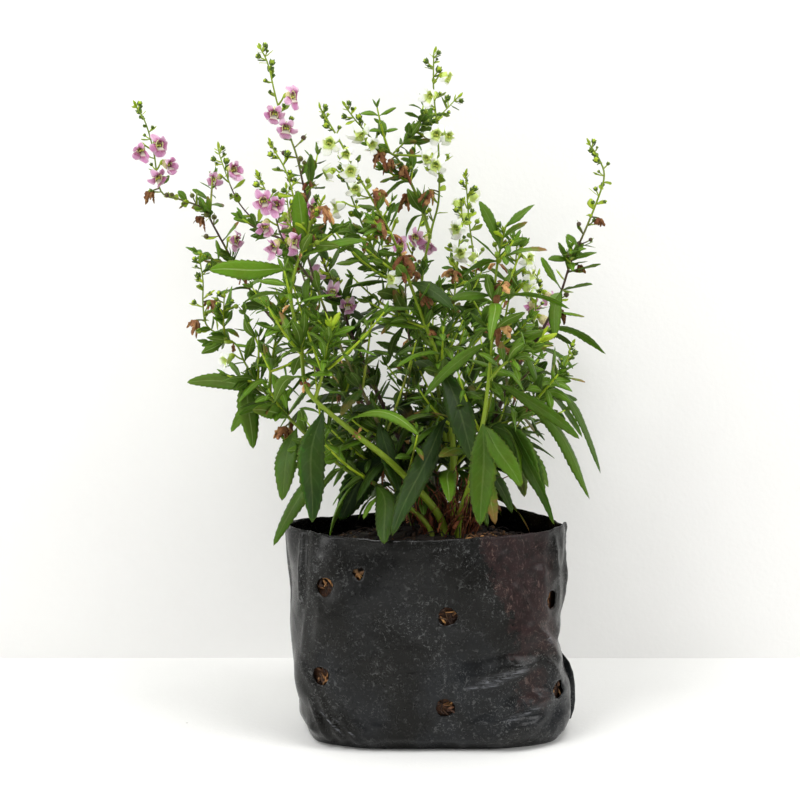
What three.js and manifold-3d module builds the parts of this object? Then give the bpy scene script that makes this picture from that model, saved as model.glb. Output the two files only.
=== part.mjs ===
// A potted angelonia: a bushy bedding plant with pink and white flower spikes, in a black film nursery bag.
// Millimetres, +Z up. The origin is the middle of the bag's foot, +X is the plant's right and -Y its front.
import * as THREE from "three";
import { mergeVertices } from "three/addons/utils/BufferGeometryUtils.js";
import Module from "manifold-3d";

const wasm = await Module();
wasm.setup();

// Driving dimensions of the bag and its soil
const RIM_HEIGHT = 114; // of the bag's top edge
const FILM = 1; // thickness of the bag's wall
const GAP = 0.35; // left between neighbouring solids
const HOLE_GAP = 0.8; // how much wider than its stem a hole in the soil is, to each side
const PLAN_POINTS = 24; // corners of each outline of the bag
const SOIL_LEVEL = 99; // of the soil at the bag's wall
const SOIL_MOUND = 12; // how much higher the soil stands round the stems
const CROWN = [12, 6]; // middle of the stems in the soil, as x and y
const ROOTED = 90; // height at which the stems' feet end in the soil

// The stump of earlier growth, with its dry stalks
const STUMP_PLACE = [-8, 22];
const STUMP_RADIUS = 3.2;
const STUMP_FOOT = 97;
const STUMP_TOP = 113;
const STUMP_SIDES = 6;
const DRY_STALKS = 9;

// Outlines of the bag from its foot up: height, half width, half depth, squareness, shift in x and in y
const BAG_LEVELS = [
  [0, 65, 38, 3, 4, -2],
  [5, 70, 43.5, 3.1, 4, -2],
  [20, 73, 47.5, 3.1, 3, -1],
  [56, 72.5, 49.5, 2.8, 0.5, 0],
  [92, 73.5, 49, 2.2, 0, 0],
  [RIM_HEIGHT, 75, 48, 1.85, 0, 0],
];

// Punched drainage holes: radius, then x and height, in the front wall and in the back wall
const DRAIN_RADIUS = 5.2;
const DRAIN_SIDES = 8;
const FRONT_DRAINS = [[-54, 87], [10, 74], [66, 77], [-56, 39], [10, 26], [69.5, 30]];
const BACK_DRAINS = [[-52, 80], [4, 74], [58, 82], [-55, 34], [4, 28], [60, 36]];
const TEAR = [-35, 95, 3.4]; // a small torn hole in the front: x, height and radius

// The side seam's loose ear, low on the right, as x and height
const EAR = [[68, 2], [79.5, 1.2], [82.3, 12], [81, 28], [70, 42]];
const EAR_THICK = 1.2;
const EAR_DEPTH = 5; // its place in y

// Driving dimensions of the plant
const TRUNK_SIDES = 4;
const SHOOT_SIDES = 3;
const TRUNK_RADIUS = 2; // from this radius at its foot, a stem has a trunk's sides
const STEM_SPAN = 44; // longest straight stretch of a stem
const STEM_TURN = 12; // degrees that a stem turns between two straight stretches
const LARGE_SECTIONS = [0.16, 0.44, 0.76]; // where a leaf's sections stand, as shares of its length
const SMALL_SECTIONS = [0.27, 0.66];
const TUFT_SECTIONS = [0.4];
const SMALL_LEAF = 26; // length up to which a leaf counts as small
const BLADE_THICK = 0.8; // of a leaf along its midrib
const BLADE_RIDGE = 0.18; // drop of a leaf's edges below its midrib, as a share of its half width
const BLOOM_RADIUS = 7.6;
const BLOOM_DEPTH = 4.4; // from the face of a bloom back to the end of its cup
const BUD_SIDES = 3;
const ROOT = 0.3; // how far the foot of a leaf or stalk runs past the middle of its stem
const FAT = 0.35; // how much fatter a piece is taken to be while its place is tested

// Lobes of a bloom from the lowest one round: length and forward curl, as shares of its radius
const LOBES = [[1, 0.12], [0.9, -0.02], [0.82, -0.16], [0.82, -0.16], [0.9, -0.02]];

// Turns tried for a leaf or flower that would cross another stem: round its stem and away from it, in degrees
const TURNS = [
  [0, 0], [16, 0], [-16, 0], [0, 16], [0, -16], [32, 0], [-32, 0], [28, 20], [-28, 20],
  [28, -20], [-28, -20], [52, 0], [-52, 0], [75, 12], [-75, 12], [100, 0], [-100, 0],
];
// Moves in y tried for the tip of a leaf whose place is given
const SHIFTS = [0, -5, 5, -10, 10, -16, 16, -23, 23];

// The stems. Each entry is one body: a trunk that stands in the soil, then the shoots that branch from it.
// path: places on the middle line, from the foot to the tip. thick: radius at the foot and at the tip.
// leaves: distance of the first and of the last pair from the foot, the step, the length low down and up.
// buds: how many there are below the tip. blooms: [distance from the tip, azimuth]. dry: the same, spent.
const STEMS = {
  far_left: {
    bloom: "pink",
    axes: [
      {
        path: [[1, 11, ROOTED], [4, 11, 113], [-18, 26, 142], [-50, 34, 181], [-77, 38, 211],
          [-97, 42, 236], [-116, 42, 270], [-121, 40, 280], [-133, 38, 285], [-144, 34, 290],
          [-147, 30, 311], [-151, 28, 327], [-156, 26, 336]],
        thick: [1.7, 0.6],
        leaves: [52, 236, 30, 34, 13],
        buds: 2,
        blooms: [[26, 312], [26, 36], [37, 62], [42, 352], [100, 55]],
        dry: [[47, 290], [80, 250], [118, 20]],
      },
    ],
  },
  tall_pink: {
    bloom: "pink",
    axes: [
      {
        path: [[6, 18, ROOTED], [7, 17, 114], [-17, 26, 160], [-41, 22, 215], [-59, 12, 265],
          [-65, 4, 294], [-69, 0, 312], [-77, -6, 334], [-82, -10, 356], [-86, -14, 365]],
        thick: [1.8, 0.6],
        leaves: [45, 215, 28, 36, 10],
        buds: 4,
        blooms: [[32, 55], [37, 330], [46, 10], [92, 70]],
        dry: [[76, 80], [100, 300]],
      },
      {
        path: [[-58, 13, 262], [-71, 31, 262], [-84, 40, 266], [-95, 48, 274], [-105, 53, 286],
          [-113, 57, 306], [-115, 58, 313]],
        thick: [1, 0.5],
        leaves: [14, 50, 23, 15, 9],
        buds: 3,
        blooms: [[18, 25], [20, 312]],
        dry: [],
      },
      {
        path: [[-42, 22, 217], [-45, 8, 232], [-50, 0, 244], [-54, -4, 254]],
        thick: [0.9, 0.5],
        leaves: [12, 24, 15, 18, 12],
        buds: 2,
        blooms: [[7, 322], [16, 0], [27, 50]],
        dry: [],
      },
    ],
  },
  cluster_pink: {
    bloom: "pink",
    axes: [
      {
        path: [[-2, -2, ROOTED], [-2, -1, 113], [-24, -8, 165], [-47, -12, 214], [-60, -14, 250],
          [-68, -16, 284], [-73, -17, 302], [-81, -19, 316]],
        thick: [1.8, 0.6],
        leaves: [48, 190, 28, 38, 12],
        buds: 3,
        blooms: [],
        dry: [[30, 100], [52, 95], [46, 330]],
      },
      {
        path: [[-57, -13, 240], [-67, -18, 255], [-75, -22, 268], [-79, -23, 282], [-83, -24, 292],
          [-87, -25, 300]],
        thick: [0.9, 0.5],
        leaves: [10, 12, 15, 16, 10],
        buds: 2,
        blooms: [[15, 335], [19, 30], [28, 305], [31, 20], [38, 335], [40, 40]],
        dry: [],
      },
    ],
  },
  thick_green: {
    bloom: "white",
    axes: [
      {
        path: [[9, -12, ROOTED], [8, -12, 117], [-16, -20, 147], [-37, -28, 166], [-57, -34, 184],
          [-63, -35, 194], [-65, -33, 212], [-70, -30, 236], [-68, -28, 251], [-63, -26, 265],
          [-60, -24, 275], [-54, -22, 287]],
        thick: [2.6, 1],
        leaves: [150, 205, 27, 26, 14],
        buds: 1,
        blooms: [],
        dry: [[4, 30]],
      },
      {
        path: [[-58, -34, 185], [-54, -38, 198], [-51, -42, 214], [-49, -44, 224]],
        thick: [1.2, 0.7],
        leaves: [16, 36, 13, 19, 14],
        buds: 0,
        blooms: [],
        dry: [],
      },
    ],
  },
  low_left: {
    bloom: "white",
    axes: [
      {
        path: [[3, -13, ROOTED], [1, -12, 114], [-27, -14, 137], [-42, -12, 144], [-54, -8, 153],
          [-70, 0, 167], [-83, 6, 179], [-97, 14, 197], [-102, 18, 207], [-110, 20, 212], [-119, 22, 218],
          [-121, 24, 230], [-121, 26, 242], [-123, 28, 254]],
        thick: [1.7, 0.6],
        leaves: [66, 196, 27, 34, 12],
        buds: 3,
        blooms: [[66, 305]],
        dry: [[34, 270], [110, 260], [24, 100]],
      },
      {
        path: [[-84, 7, 180], [-83, 2, 196], [-80, -4, 212], [-77, -8, 226], [-76, -9, 233]],
        thick: [1.1, 0.7],
        leaves: [16, 46, 15, 22, 15],
        buds: 0,
        blooms: [],
        dry: [],
      },
      {
        path: [[-109, 20, 211], [-109, 14, 223], [-108, 11, 237]],
        thick: [0.8, 0.5],
        leaves: [6, 7, 12, 9, 8],
        buds: 3,
        blooms: [],
        dry: [],
      },
    ],
  },
  inner_left: {
    bloom: "white",
    axes: [
      {
        path: [[-7, 8, ROOTED], [-8, 8, 114], [-22, 6, 140], [-36, 3, 165], [-46, 0, 190],
          [-50, -1, 212]],
        thick: [1.5, 0.8],
        leaves: [56, 118, 23, 34, 20],
        buds: 0,
        blooms: [],
        dry: [],
      },
    ],
  },
  white_left: {
    bloom: "white",
    axes: [
      {
        path: [[14, 1, ROOTED], [14, 0, 114], [14, -2, 159], [7, -4, 199], [-1, -6, 222], [-8, -8, 241],
          [-15, -10, 261], [-25, -12, 281], [-36, -14, 300], [-45, -16, 317], [-55, -18, 334]],
        thick: [2.3, 0.7],
        leaves: [50, 190, 27, 38, 14],
        buds: 3,
        blooms: [[20, 320], [29, 20], [37, 335], [100, 300]],
        dry: [[88, 30], [110, 60], [52, 60], [64, 320], [94, 320]],
      },
      {
        path: [[3, -5, 209], [-9, 4, 223], [-20, 10, 245], [-28, 12, 259], [-37, 13, 280], [-42, 13, 294],
          [-46, 13, 308]],
        thick: [1.4, 0.6],
        leaves: [20, 78, 24, 28, 13],
        buds: 3,
        blooms: [[9, 280], [20, 20], [27, 280]],
        dry: [[42, 100]],
      },
    ],
  },
  white_tall: {
    bloom: "white",
    axes: [
      {
        path: [[17, 11, ROOTED], [17, 12, 114], [10, 26, 160], [4, 34, 203], [-2, 36, 239], [3, 34, 268],
          [7, 32, 285], [7, 30, 307], [6, 28, 324], [4, 26, 344], [4, 24, 364]],
        thick: [1.8, 0.6],
        leaves: [50, 182, 27, 36, 13],
        buds: 3,
        blooms: [[16, 45], [26, 5], [46, 350], [47, 48], [58, 318], [62, 5]],
        dry: [[75, 300]],
      },
      {
        path: [[3, 34, 264], [-2, 40, 280], [-7, 42, 292], [-16, 42, 308], [-25, 41, 313], [-31, 40, 320],
          [-38, 38, 328], [-44, 36, 336]],
        thick: [1.2, 0.6],
        leaves: [14, 56, 20, 22, 11],
        buds: 3,
        blooms: [[18, 318], [26, 335]],
        dry: [[48, 10], [62, 290], [40, 320], [31, 345]],
      },
      {
        path: [[-19, 42, 309], [-7, 46, 320], [8, 50, 331], [18, 52, 341]],
        thick: [0.8, 0.5],
        leaves: [8, 26, 12, 12, 9],
        buds: 2,
        blooms: [],
        dry: [],
      },
    ],
  },
  mid_white: {
    bloom: "white",
    axes: [
      {
        path: [[15, 24, ROOTED], [14, 25, 114], [13, 44, 157], [14, 52, 195], [16, 54, 225],
          [18, 54, 250], [20, 50, 274], [20, 48, 284]],
        thick: [1.7, 0.6],
        leaves: [48, 150, 27, 36, 17],
        buds: 2,
        blooms: [[16, 0], [31, 30], [34, 80]],
        dry: [[40, 330], [56, 40]],
      },
    ],
  },
  mid_pink: {
    bloom: "pink",
    axes: [
      {
        path: [[8, 29, ROOTED], [8, 30, 114], [3, 56, 149], [-7, 72, 195], [-11, 78, 231], [-5, 78, 261],
          [1, 76, 282]],
        thick: [1.6, 0.6],
        leaves: [48, 155, 27, 36, 15],
        buds: 3,
        blooms: [[22, 5], [22, 75], [30, 290]],
        dry: [[40, 60]],
      },
    ],
  },
  right_green: {
    bloom: "white",
    axes: [
      {
        path: [[18, -12, ROOTED], [17, -14, 116], [23, -26, 141], [29, -36, 175], [31, -38, 192],
          [33, -36, 213], [34, -34, 237], [36, -32, 256], [40, -30, 274]],
        thick: [2.2, 0.9],
        leaves: [148, 186, 24, 26, 17],
        buds: 1,
        blooms: [],
        dry: [[30, 20], [52, 60]],
      },
      {
        path: [[32, -37, 196], [39, -40, 204], [50, -44, 212], [58, -46, 217]],
        thick: [1, 0.6],
        leaves: [12, 28, 9, 16, 13],
        buds: 0,
        blooms: [],
        dry: [],
      },
    ],
  },
  right_white: {
    bloom: "white",
    axes: [
      {
        path: [[21, -1, ROOTED], [20, 0, 114], [29, -4, 159], [37, -8, 197], [42, -10, 229],
          [46, -12, 250], [47, -14, 268]],
        thick: [1.6, 0.6],
        leaves: [48, 148, 25, 38, 17],
        buds: 3,
        blooms: [[13, 45], [21, 65], [29, 88]],
        dry: [[50, 280], [60, 60]],
      },
      {
        path: [[30, -5, 162], [46, -10, 172], [62, -14, 186], [72, -16, 200], [76, -16, 212]],
        thick: [1.1, 0.6],
        leaves: [14, 58, 17, 30, 16],
        buds: 2,
        blooms: [],
        dry: [],
      },
    ],
  },
  far_right: {
    bloom: "pink",
    axes: [
      {
        path: [[23, 16, ROOTED], [22, 19, 114], [34, 34, 153], [50, 40, 190], [64, 42, 212],
          [74, 42, 232], [80, 40, 251], [88, 38, 270], [95, 36, 289], [97, 35, 299], [94, 33, 307],
          [88, 32, 316]],
        thick: [1.8, 0.7],
        leaves: [48, 196, 25, 36, 12],
        buds: 3,
        blooms: [],
        dry: [[44, 90], [72, 100], [98, 85]],
      },
    ],
  },
  back_left: {
    bloom: "pink",
    axes: [
      {
        path: [[0, 24, ROOTED], [-1, 26, 114], [-22, 52, 148], [-48, 76, 190], [-66, 90, 228],
          [-76, 96, 262], [-80, 98, 290]],
        thick: [1.7, 0.6],
        leaves: [50, 176, 27, 38, 14],
        buds: 3,
        blooms: [[15, 150], [19, 215], [27, 180]],
        dry: [[46, 200]],
      },
    ],
  },
  back_mid: {
    bloom: "white",
    axes: [
      {
        path: [[15, 35, ROOTED], [15, 37, 114], [22, 66, 150], [28, 88, 194], [30, 98, 236],
          [26, 102, 272], [24, 102, 298]],
        thick: [1.7, 0.6],
        leaves: [46, 172, 27, 38, 14],
        buds: 3,
        blooms: [[15, 150], [20, 215], [28, 180]],
        dry: [[52, 150]],
      },
      {
        path: [[24, 76, 170], [8, 92, 186], [-6, 104, 206], [-14, 110, 226]],
        thick: [1.1, 0.6],
        leaves: [14, 50, 20, 30, 16],
        buds: 2,
        blooms: [],
        dry: [],
      },
    ],
  },
  back_right: {
    bloom: "pink",
    axes: [
      {
        path: [[26, 29, ROOTED], [27, 31, 114], [42, 58, 146], [56, 80, 182], [64, 94, 214],
          [66, 100, 240]],
        thick: [1.7, 0.6],
        leaves: [48, 130, 27, 38, 18],
        buds: 3,
        blooms: [[14, 120], [19, 185], [27, 150]],
        dry: [[40, 90]],
      },
    ],
  },
};

// Large leaves with places of their own: stem, axis, height of the foot, tip, width, roll from face-on, arch
const LARGE_LEAVES = [
  ["thick_green", 0, 251, [-111, -34, 252], 10.5, 0, 0.06],
  ["thick_green", 0, 264, [-66, -31, 292], 9.5, 25, 0.02],
  ["thick_green", 0, 256, [-31, -24, 266], 8, -50, 0.12],
  ["thick_green", 0, 181, [-59, -52, 124], 14.5, 8, 0.1],
  ["low_left", 0, 166, [-76, -24, 130], 12, 20, 0.1],
  ["low_left", 0, 197, [-93, 4, 153], 12, 172, 0.06],
  ["low_left", 0, 183, [-106, 12, 160], 7, 20, 0.1],
  ["low_left", 0, 180, [-129, 12, 188], 8.5, 205, 0.08],
  ["low_left", 0, 174, [-100, -8, 173], 7, -55, 0.14],
  ["low_left", 0, 150, [-80, -34, 108], 9, 40, 0.12],
  ["low_left", 0, 137, [-22, -53, 113], 12, 15, 0.12],
  ["white_left", 0, 152, [-13, -40, 135], 12, -25, 0.14],
  ["thick_green", 0, 172, [-4, -46, 168], 7, -60, 0.2],
  ["cluster_pink", 0, 152, [-46, -18, 117], 17, 15, 0.1],
  ["cluster_pink", 0, 170, [-14, -30, 133], 12, -30, 0.14],
  ["white_left", 0, 172, [-18, -51, 118], 12, -10, 0.12],
  ["white_left", 0, 198, [24, -30, 152], 14.5, 12, 0.1],
  ["white_left", 0, 243, [14, -20, 230], 10, -20, 0.12],
  ["white_left", 0, 228, [-34, -26, 222], 8, 60, 0.12],
  ["right_green", 0, 174, [27, -50, 122], 14.5, 4, 0.12],
  ["right_green", 0, 172, [48, -50, 142], 11, -20, 0.12],
  ["right_green", 0, 195, [78, -44, 166], 9, 50, 0.1],
  ["right_green", 0, 215, [-2, -52, 189], 9.5, -35, 0.1],
  ["right_green", 0, 238, [12, -38, 237], 6.5, 60, 0.12],
  ["right_green", 0, 237, [73, -34, 232], 6.5, 70, 0.12],
  ["right_green", 0, 273, [55, -32, 285], 6.5, -30, 0.05],
  ["right_green", 0, 262, [26, -36, 287], 7, 30, 0.06],
  ["right_green", 0, 256, [16, -40, 248], 7, -45, 0.12],
  ["right_white", 0, 168, [60, -24, 133], 12, 15, 0.16],
  ["right_white", 1, 170, [66, -34, 120], 8.5, 35, 0.16],
  ["right_white", 1, 178, [86, -20, 130], 9, -35, 0.16],
  ["right_white", 1, 190, [92, -16, 143], 8, -55, 0.16],
  ["far_right", 0, 160, [66, 26, 120], 12, 20, 0.14],
  ["far_right", 0, 236, [70, 26, 210], 8, 30, 0.1],
  ["far_right", 0, 214, [100, 40, 200], 8, 55, 0.16],
  ["mid_white", 0, 226, [38, 38, 207], 10, -20, 0.12],
  ["back_left", 0, 160, [-62, 92, 128], 13, 160, 0.14],
  ["back_left", 0, 190, [-84, 74, 152], 12, 110, 0.14],
  ["back_mid", 0, 152, [34, 104, 122], 13.5, 185, 0.14],
  ["back_mid", 0, 176, [6, 118, 140], 12, 200, 0.14],
  ["back_right", 0, 150, [72, 78, 118], 13, 130, 0.14],
  ["back_right", 0, 182, [92, 86, 146], 11, 80, 0.14],
  ["mid_pink", 0, 160, [-26, 92, 130], 12.5, 170, 0.14],
];

// Repeatable numbers from 0 to 1, one for each set of three whole numbers
const chance = (a, b, c) => {
  const wave = Math.sin(a * 127.1 + b * 311.7 + c * 74.7) * 43758.5453;
  return wave - Math.floor(wave);
};
const radians = (degrees) => (degrees * Math.PI) / 180;
const vec = (x, y, z) => new THREE.Vector3(x, y, z);
const UP = vec(0, 0, 1);
const FRONT = vec(0, -1, 0);

// a + b * k, without changing either
const plus = (a, b, k = 1) => a.clone().addScaledVector(b, k);

// A closed geometry as a solid that can be joined and cut
function solidOf(geometry) {
  geometry.deleteAttribute("normal");
  geometry.deleteAttribute("uv");
  const merged = mergeVertices(geometry, 1e-4);
  const vertProperties = merged.getAttribute("position").array;
  const made = (triVerts) => new wasm.Manifold(new wasm.Mesh({ numProp: 3, vertProperties, triVerts }));
  const faces = new Uint32Array(merged.index.array);
  const first = made(faces);
  return first.volume() > 0 ? first : made(faces.reverse());
}

function solidFrom(points, faces) {
  const geometry = new THREE.BufferGeometry().setFromPoints(points);
  return solidOf(geometry.setIndex(faces));
}

// A closed solid through rings of equally many points. Either end is flat, or drawn to a point.
function loft(rings, { start = null, end = null } = {}) {
  const count = rings[0].length;
  const points = rings.flat();
  const faces = [];
  for (let r = 0; r + 1 < rings.length; r++) {
    for (let i = 0; i < count; i++) {
      const [a, b] = [r * count + i, r * count + ((i + 1) % count)];
      faces.push(a, b, b + count, a, b + count, a + count);
    }
  }
  const close = (first, point, turn) => {
    for (let i = 0; i < count; i++) {
      const [a, b] = [first + i, first + ((i + 1) % count)];
      const corner = point ? points.length : first;
      if (point || (a !== first && b !== first)) faces.push(...(turn ? [b, a, corner] : [a, b, corner]));
    }
    if (point) points.push(point);
  };
  close(0, start, true);
  close((rings.length - 1) * count, end, false);
  return solidFrom(points, faces);
}

// Points round a centre, in the plane that along is square to
function ring(centre, along, radius, sides) {
  const across = vec(0, 0, 0).crossVectors(along, Math.abs(along.y) < 0.9 ? FRONT : UP).normalize();
  const other = vec(0, 0, 0).crossVectors(along, across);
  return Array.from({ length: sides }, (_, i) => {
    const turn = (2 * Math.PI * i) / sides;
    return plus(plus(centre, across, radius * Math.cos(turn)), other, radius * Math.sin(turn));
  });
}

// A line through points, with the place and direction at any distance along it
function lineThrough(points) {
  const reached = [0];
  points.slice(1).forEach((p, i) => reached.push(reached[i] + p.distanceTo(points[i])));
  const length = reached.at(-1);
  const at = (distance) => {
    const next = reached.findIndex((far) => far > distance);
    const i = next < 0 ? points.length - 2 : Math.max(0, next - 1);
    const along = points[i + 1].clone().sub(points[i]).normalize();
    return { point: plus(points[i], along, distance - reached[i]), along };
  };
  const atHeight = (height) => {
    const i = Math.max(0, points.findIndex((p) => p.z >= height) - 1);
    return reached[i] + (height - points[i].z) / at(reached[i]).along.z;
  };
  return { points, length, at, atHeight };
}

// A stem's middle line: a smooth curve, kept where it bends and after long straight stretches
function middleLine(path) {
  const curve = new THREE.CatmullRomCurve3(path.map((p) => vec(...p)), false, "catmullrom", 0.5);
  const smooth = lineThrough(curve.getPoints(20 * (path.length - 1)));
  const kept = [0];
  for (let far = 1; far < smooth.length - 4; far++) {
    const turned = smooth.at(far).along.angleTo(smooth.at(kept.at(-1)).along);
    if (turned > radians(STEM_TURN) || far - kept.at(-1) > STEM_SPAN) kept.push(far);
  }
  return lineThrough([...kept, smooth.length].map((far) => smooth.at(far).point));
}

// The direction away from a stem at an azimuth: 0 is to the front and 90 to the right
function outward(along, azimuth) {
  const turn = radians(azimuth);
  const out = vec(Math.sin(turn), -Math.cos(turn), 0);
  return out.addScaledVector(along, -out.dot(along)).normalize();
}

// Rings round a line, square to it, from one radius at its foot to another at its tip
function tubeRings({ points }, foot, tip, sides) {
  return points.map((point, i) => {
    const along = plus(points[i + 1] ?? point, points[i - 1] ?? point, -1).normalize();
    return ring(point, along, foot + ((tip - foot) * i) / (points.length - 1), sides);
  });
}

const sidesOf = (radius) => (radius < TRUNK_RADIUS ? SHOOT_SIDES : TRUNK_SIDES);
const stemSolid = (line, [foot, tip]) => loft(tubeRings(line, foot, tip, sidesOf(foot)));

// Half width of a leaf along its length, as a share of its greatest
const outline = (share) => Math.sin(Math.PI * share ** 0.9) ** 0.75;

// A leaf, which is highest along its midrib: foot, bend and tip steer that, and side points across it
function bladeSolid({ foot, bend, tip, side, wide, sections }, fat = 0, from = 0) {
  const rings = sections
    .filter((share) => share >= from)
    .map((s) => {
      const middle = plus(plus(foot.clone().multiplyScalar((1 - s) ** 2), bend, 2 * s * (1 - s)), tip, s * s);
      const along = plus(plus(vec(0, 0, 0), plus(bend, foot, -1), 1 - s), plus(tip, bend, -1), s).normalize();
      const across = plus(side, along, -side.dot(along)).normalize();
      const face = vec(0, 0, 0).crossVectors(across, along);
      const half = (wide / 2) * outline(s) + fat;
      const under = plus(middle, face, -BLADE_RIDGE * half - fat);
      return [plus(under, across, -half), plus(middle, face, BLADE_THICK + fat), plus(under, across, half)];
    });
  const start = from > 0 ? rings[0][0].clone().lerp(rings[0][2], 0.5) : foot;
  return loft(rings, { start, end: tip });
}

// A leaf that leaves its stem at a distance along it and at an azimuth, tilted away from it, and droops
function growingBlade(line, distance, azimuth, tilt, long, wide, droop) {
  const { point, along } = line.at(distance);
  const out = outward(along, azimuth);
  const start = plus(along.clone().multiplyScalar(Math.cos(radians(tilt))), out, Math.sin(radians(tilt)));
  const chord = plus(start, UP, -droop).normalize();
  const side = vec(0, 0, 0).crossVectors(start, along).normalize();
  const foot = plus(point, start, -ROOT);
  const sections = long < SMALL_LEAF ? SMALL_SECTIONS : LARGE_SECTIONS;
  return { foot, bend: plus(point, start, long / 2), tip: plus(point, chord, long), side, wide, sections };
}

// A leaf whose foot and tip are given. With no roll it shows its upper face to the front.
function placedBlade(line, height, tip, wide, roll, arch) {
  const foot = line.at(line.atHeight(height)).point;
  const sections = LARGE_SECTIONS;
  const chord = tip.clone().sub(foot);
  const long = chord.length();
  chord.normalize();
  const side = vec(0, 0, 0).crossVectors(chord, FRONT).normalize().applyAxisAngle(chord, radians(roll));
  const bend = plus(foot.clone().lerp(tip, 0.5), UP, 2 * arch * long);
  return { foot: plus(foot, chord, -ROOT), bend, tip, side, wide, sections };
}

// A bud, a spent flower or a cup: a stalk that swells to its widest place and ends in a point
const swelling = (foot, way, middle, facing, radius, end) =>
  loft([ring(middle, facing, radius, BUD_SIDES)], { start: plus(foot, way, -ROOT), end });

function budSolid(line, distance, azimuth, long, radius, fat = 0) {
  const { point, along } = line.at(distance);
  const way = plus(outward(along, azimuth), along, 0.75).normalize();
  const middle = plus(point, way, long + radius);
  return swelling(point, way, middle, way, radius + fat, plus(middle, way, 1.3 * radius + fat));
}

// A spent flower hangs from its stalk
function drySolid(line, distance, azimuth, fat = 0) {
  const { point, along } = line.at(distance);
  const way = plus(outward(along, azimuth), along, 0.3).normalize();
  const middle = plus(plus(point, way, 6), UP, -3);
  return swelling(point, way, middle, plus(way, UP, -2).normalize(), 2.3 + fat, plus(middle, UP, -5 - fat));
}

// The stalk and green cup that carry a bloom
function cupSolid({ foot, end, facing }, fat = 0) {
  const way = end.clone().sub(foot).normalize();
  return swelling(foot, way, plus(end, facing, -1.4), facing, 1.5 + fat, plus(end, facing, fat / 3));
}

// A bloom's place: the end of its stalk, the way it faces and its upward side
function bloomPlace(line, distance, azimuth) {
  const { point, along } = line.at(distance);
  const out = outward(along, azimuth);
  const end = plus(plus(point, out, 5.5), along, 4);
  const facing = plus(plus(out, UP, -0.28), FRONT, 0.25).normalize();
  const upward = plus(UP, facing, -UP.dot(facing)).normalize();
  return { foot: point, end, facing, upward, centre: plus(end, facing, BLOOM_DEPTH + GAP) };
}

// Five lobes round a throat, with a cup behind it
function bloomSolid({ centre, facing, upward }, fat = 0) {
  const right = vec(0, 0, 0).crossVectors(upward, facing);
  const place = (degrees, reach, ahead) => {
    const turn = radians(degrees);
    const flat = plus(plus(centre, upward, -reach * Math.cos(turn)), right, reach * Math.sin(turn));
    return plus(flat, facing, ahead);
  };
  const size = BLOOM_RADIUS + fat;
  const points = [place(0, 0, -2.2 + fat), place(0, 0, -BLOOM_DEPTH - fat)];
  const perLobe = 5;
  const faces = [];
  LOBES.forEach(([reach, curl], k) => {
    const turn = 72 * k;
    const far = reach * size;
    const ahead = curl * size;
    const middle = 0.35 * ahead;
    points.push(place(turn - 36, 0.44 * size, -0.6));
    points.push(place(turn - 17, far, ahead), place(turn + 17, far, ahead));
    points.push(place(turn, 0.6 * far, middle + 0.5 + fat), place(turn, 0.6 * far, middle - 0.5 - fat));
    const [notch, early, late, front, back] = [2, 3, 4, 5, 6].map((i) => perLobe * k + i);
    const nextNotch = 2 + perLobe * ((k + 1) % LOBES.length);
    const round = [notch, early, late, nextNotch];
    for (let i = 0; i + 1 < round.length; i++) {
      faces.push(front, round[i], round[i + 1], back, round[i + 1], round[i]);
    }
    faces.push(0, notch, front, 0, front, nextNotch, 1, back, notch, 1, nextNotch, back);
  });
  return solidFrom(points, faces);
}

// Everything that has its place so far, as { owner, made, box }
const placed = [];

function boxOf(made) {
  const { min, max } = made.boundingBox();
  return new THREE.Box3(vec(...min), vec(...max));
}

const put = (owner, made) => placed.push({ owner, made, box: boxOf(made) });

// Whether a piece meets nothing but what the test lets pass
function isClear(piece, passes) {
  const box = boxOf(piece);
  const meets = (other) => other.box.intersectsBox(box) && other.made.intersect(piece).volume() > 1e-4;
  return placed.every((other) => passes(other.owner) || !meets(other));
}

// Bag

// One outline of the bag, drawn in by a distance
function bagOutline([height, halfWide, halfDeep, square, x, y], inset, lift = 0) {
  const outer = Array.from({ length: PLAN_POINTS }, (_, i) => {
    const turn = (2 * Math.PI * (i + 0.5)) / PLAN_POINTS;
    const [c, s] = [Math.cos(turn), Math.sin(turn)];
    const slack = 1 + 0.012 * Math.sin(5 * turn + height / 11) + 0.008 * Math.sin(9 * turn - height / 7);
    const reach = (part, half) => Math.sign(part) * Math.abs(part) ** (2 / square) * half * slack;
    return new THREE.Vector2(x + reach(c, halfWide), y + reach(s, halfDeep));
  });
  return outer.map((p, i) => {
    const edge = outer[(i + 1) % PLAN_POINTS].clone().sub(outer.at(i - 1)).normalize();
    return vec(p.x - edge.y * inset, p.y + edge.x * inset, height + lift);
  });
}

// The rim dips at the back left and stands highest at the front and at the back right
const rimWave = (p) => 1.2 * Math.sin(p.x / 22) * (p.y > 0 ? 2.2 : 0.4) - (p.y > 0 ? 1.5 : 0);

function rimmed(outlinePoints) {
  return outlinePoints.map((p) => vec(p.x, p.y, p.z + rimWave(p)));
}

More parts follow.
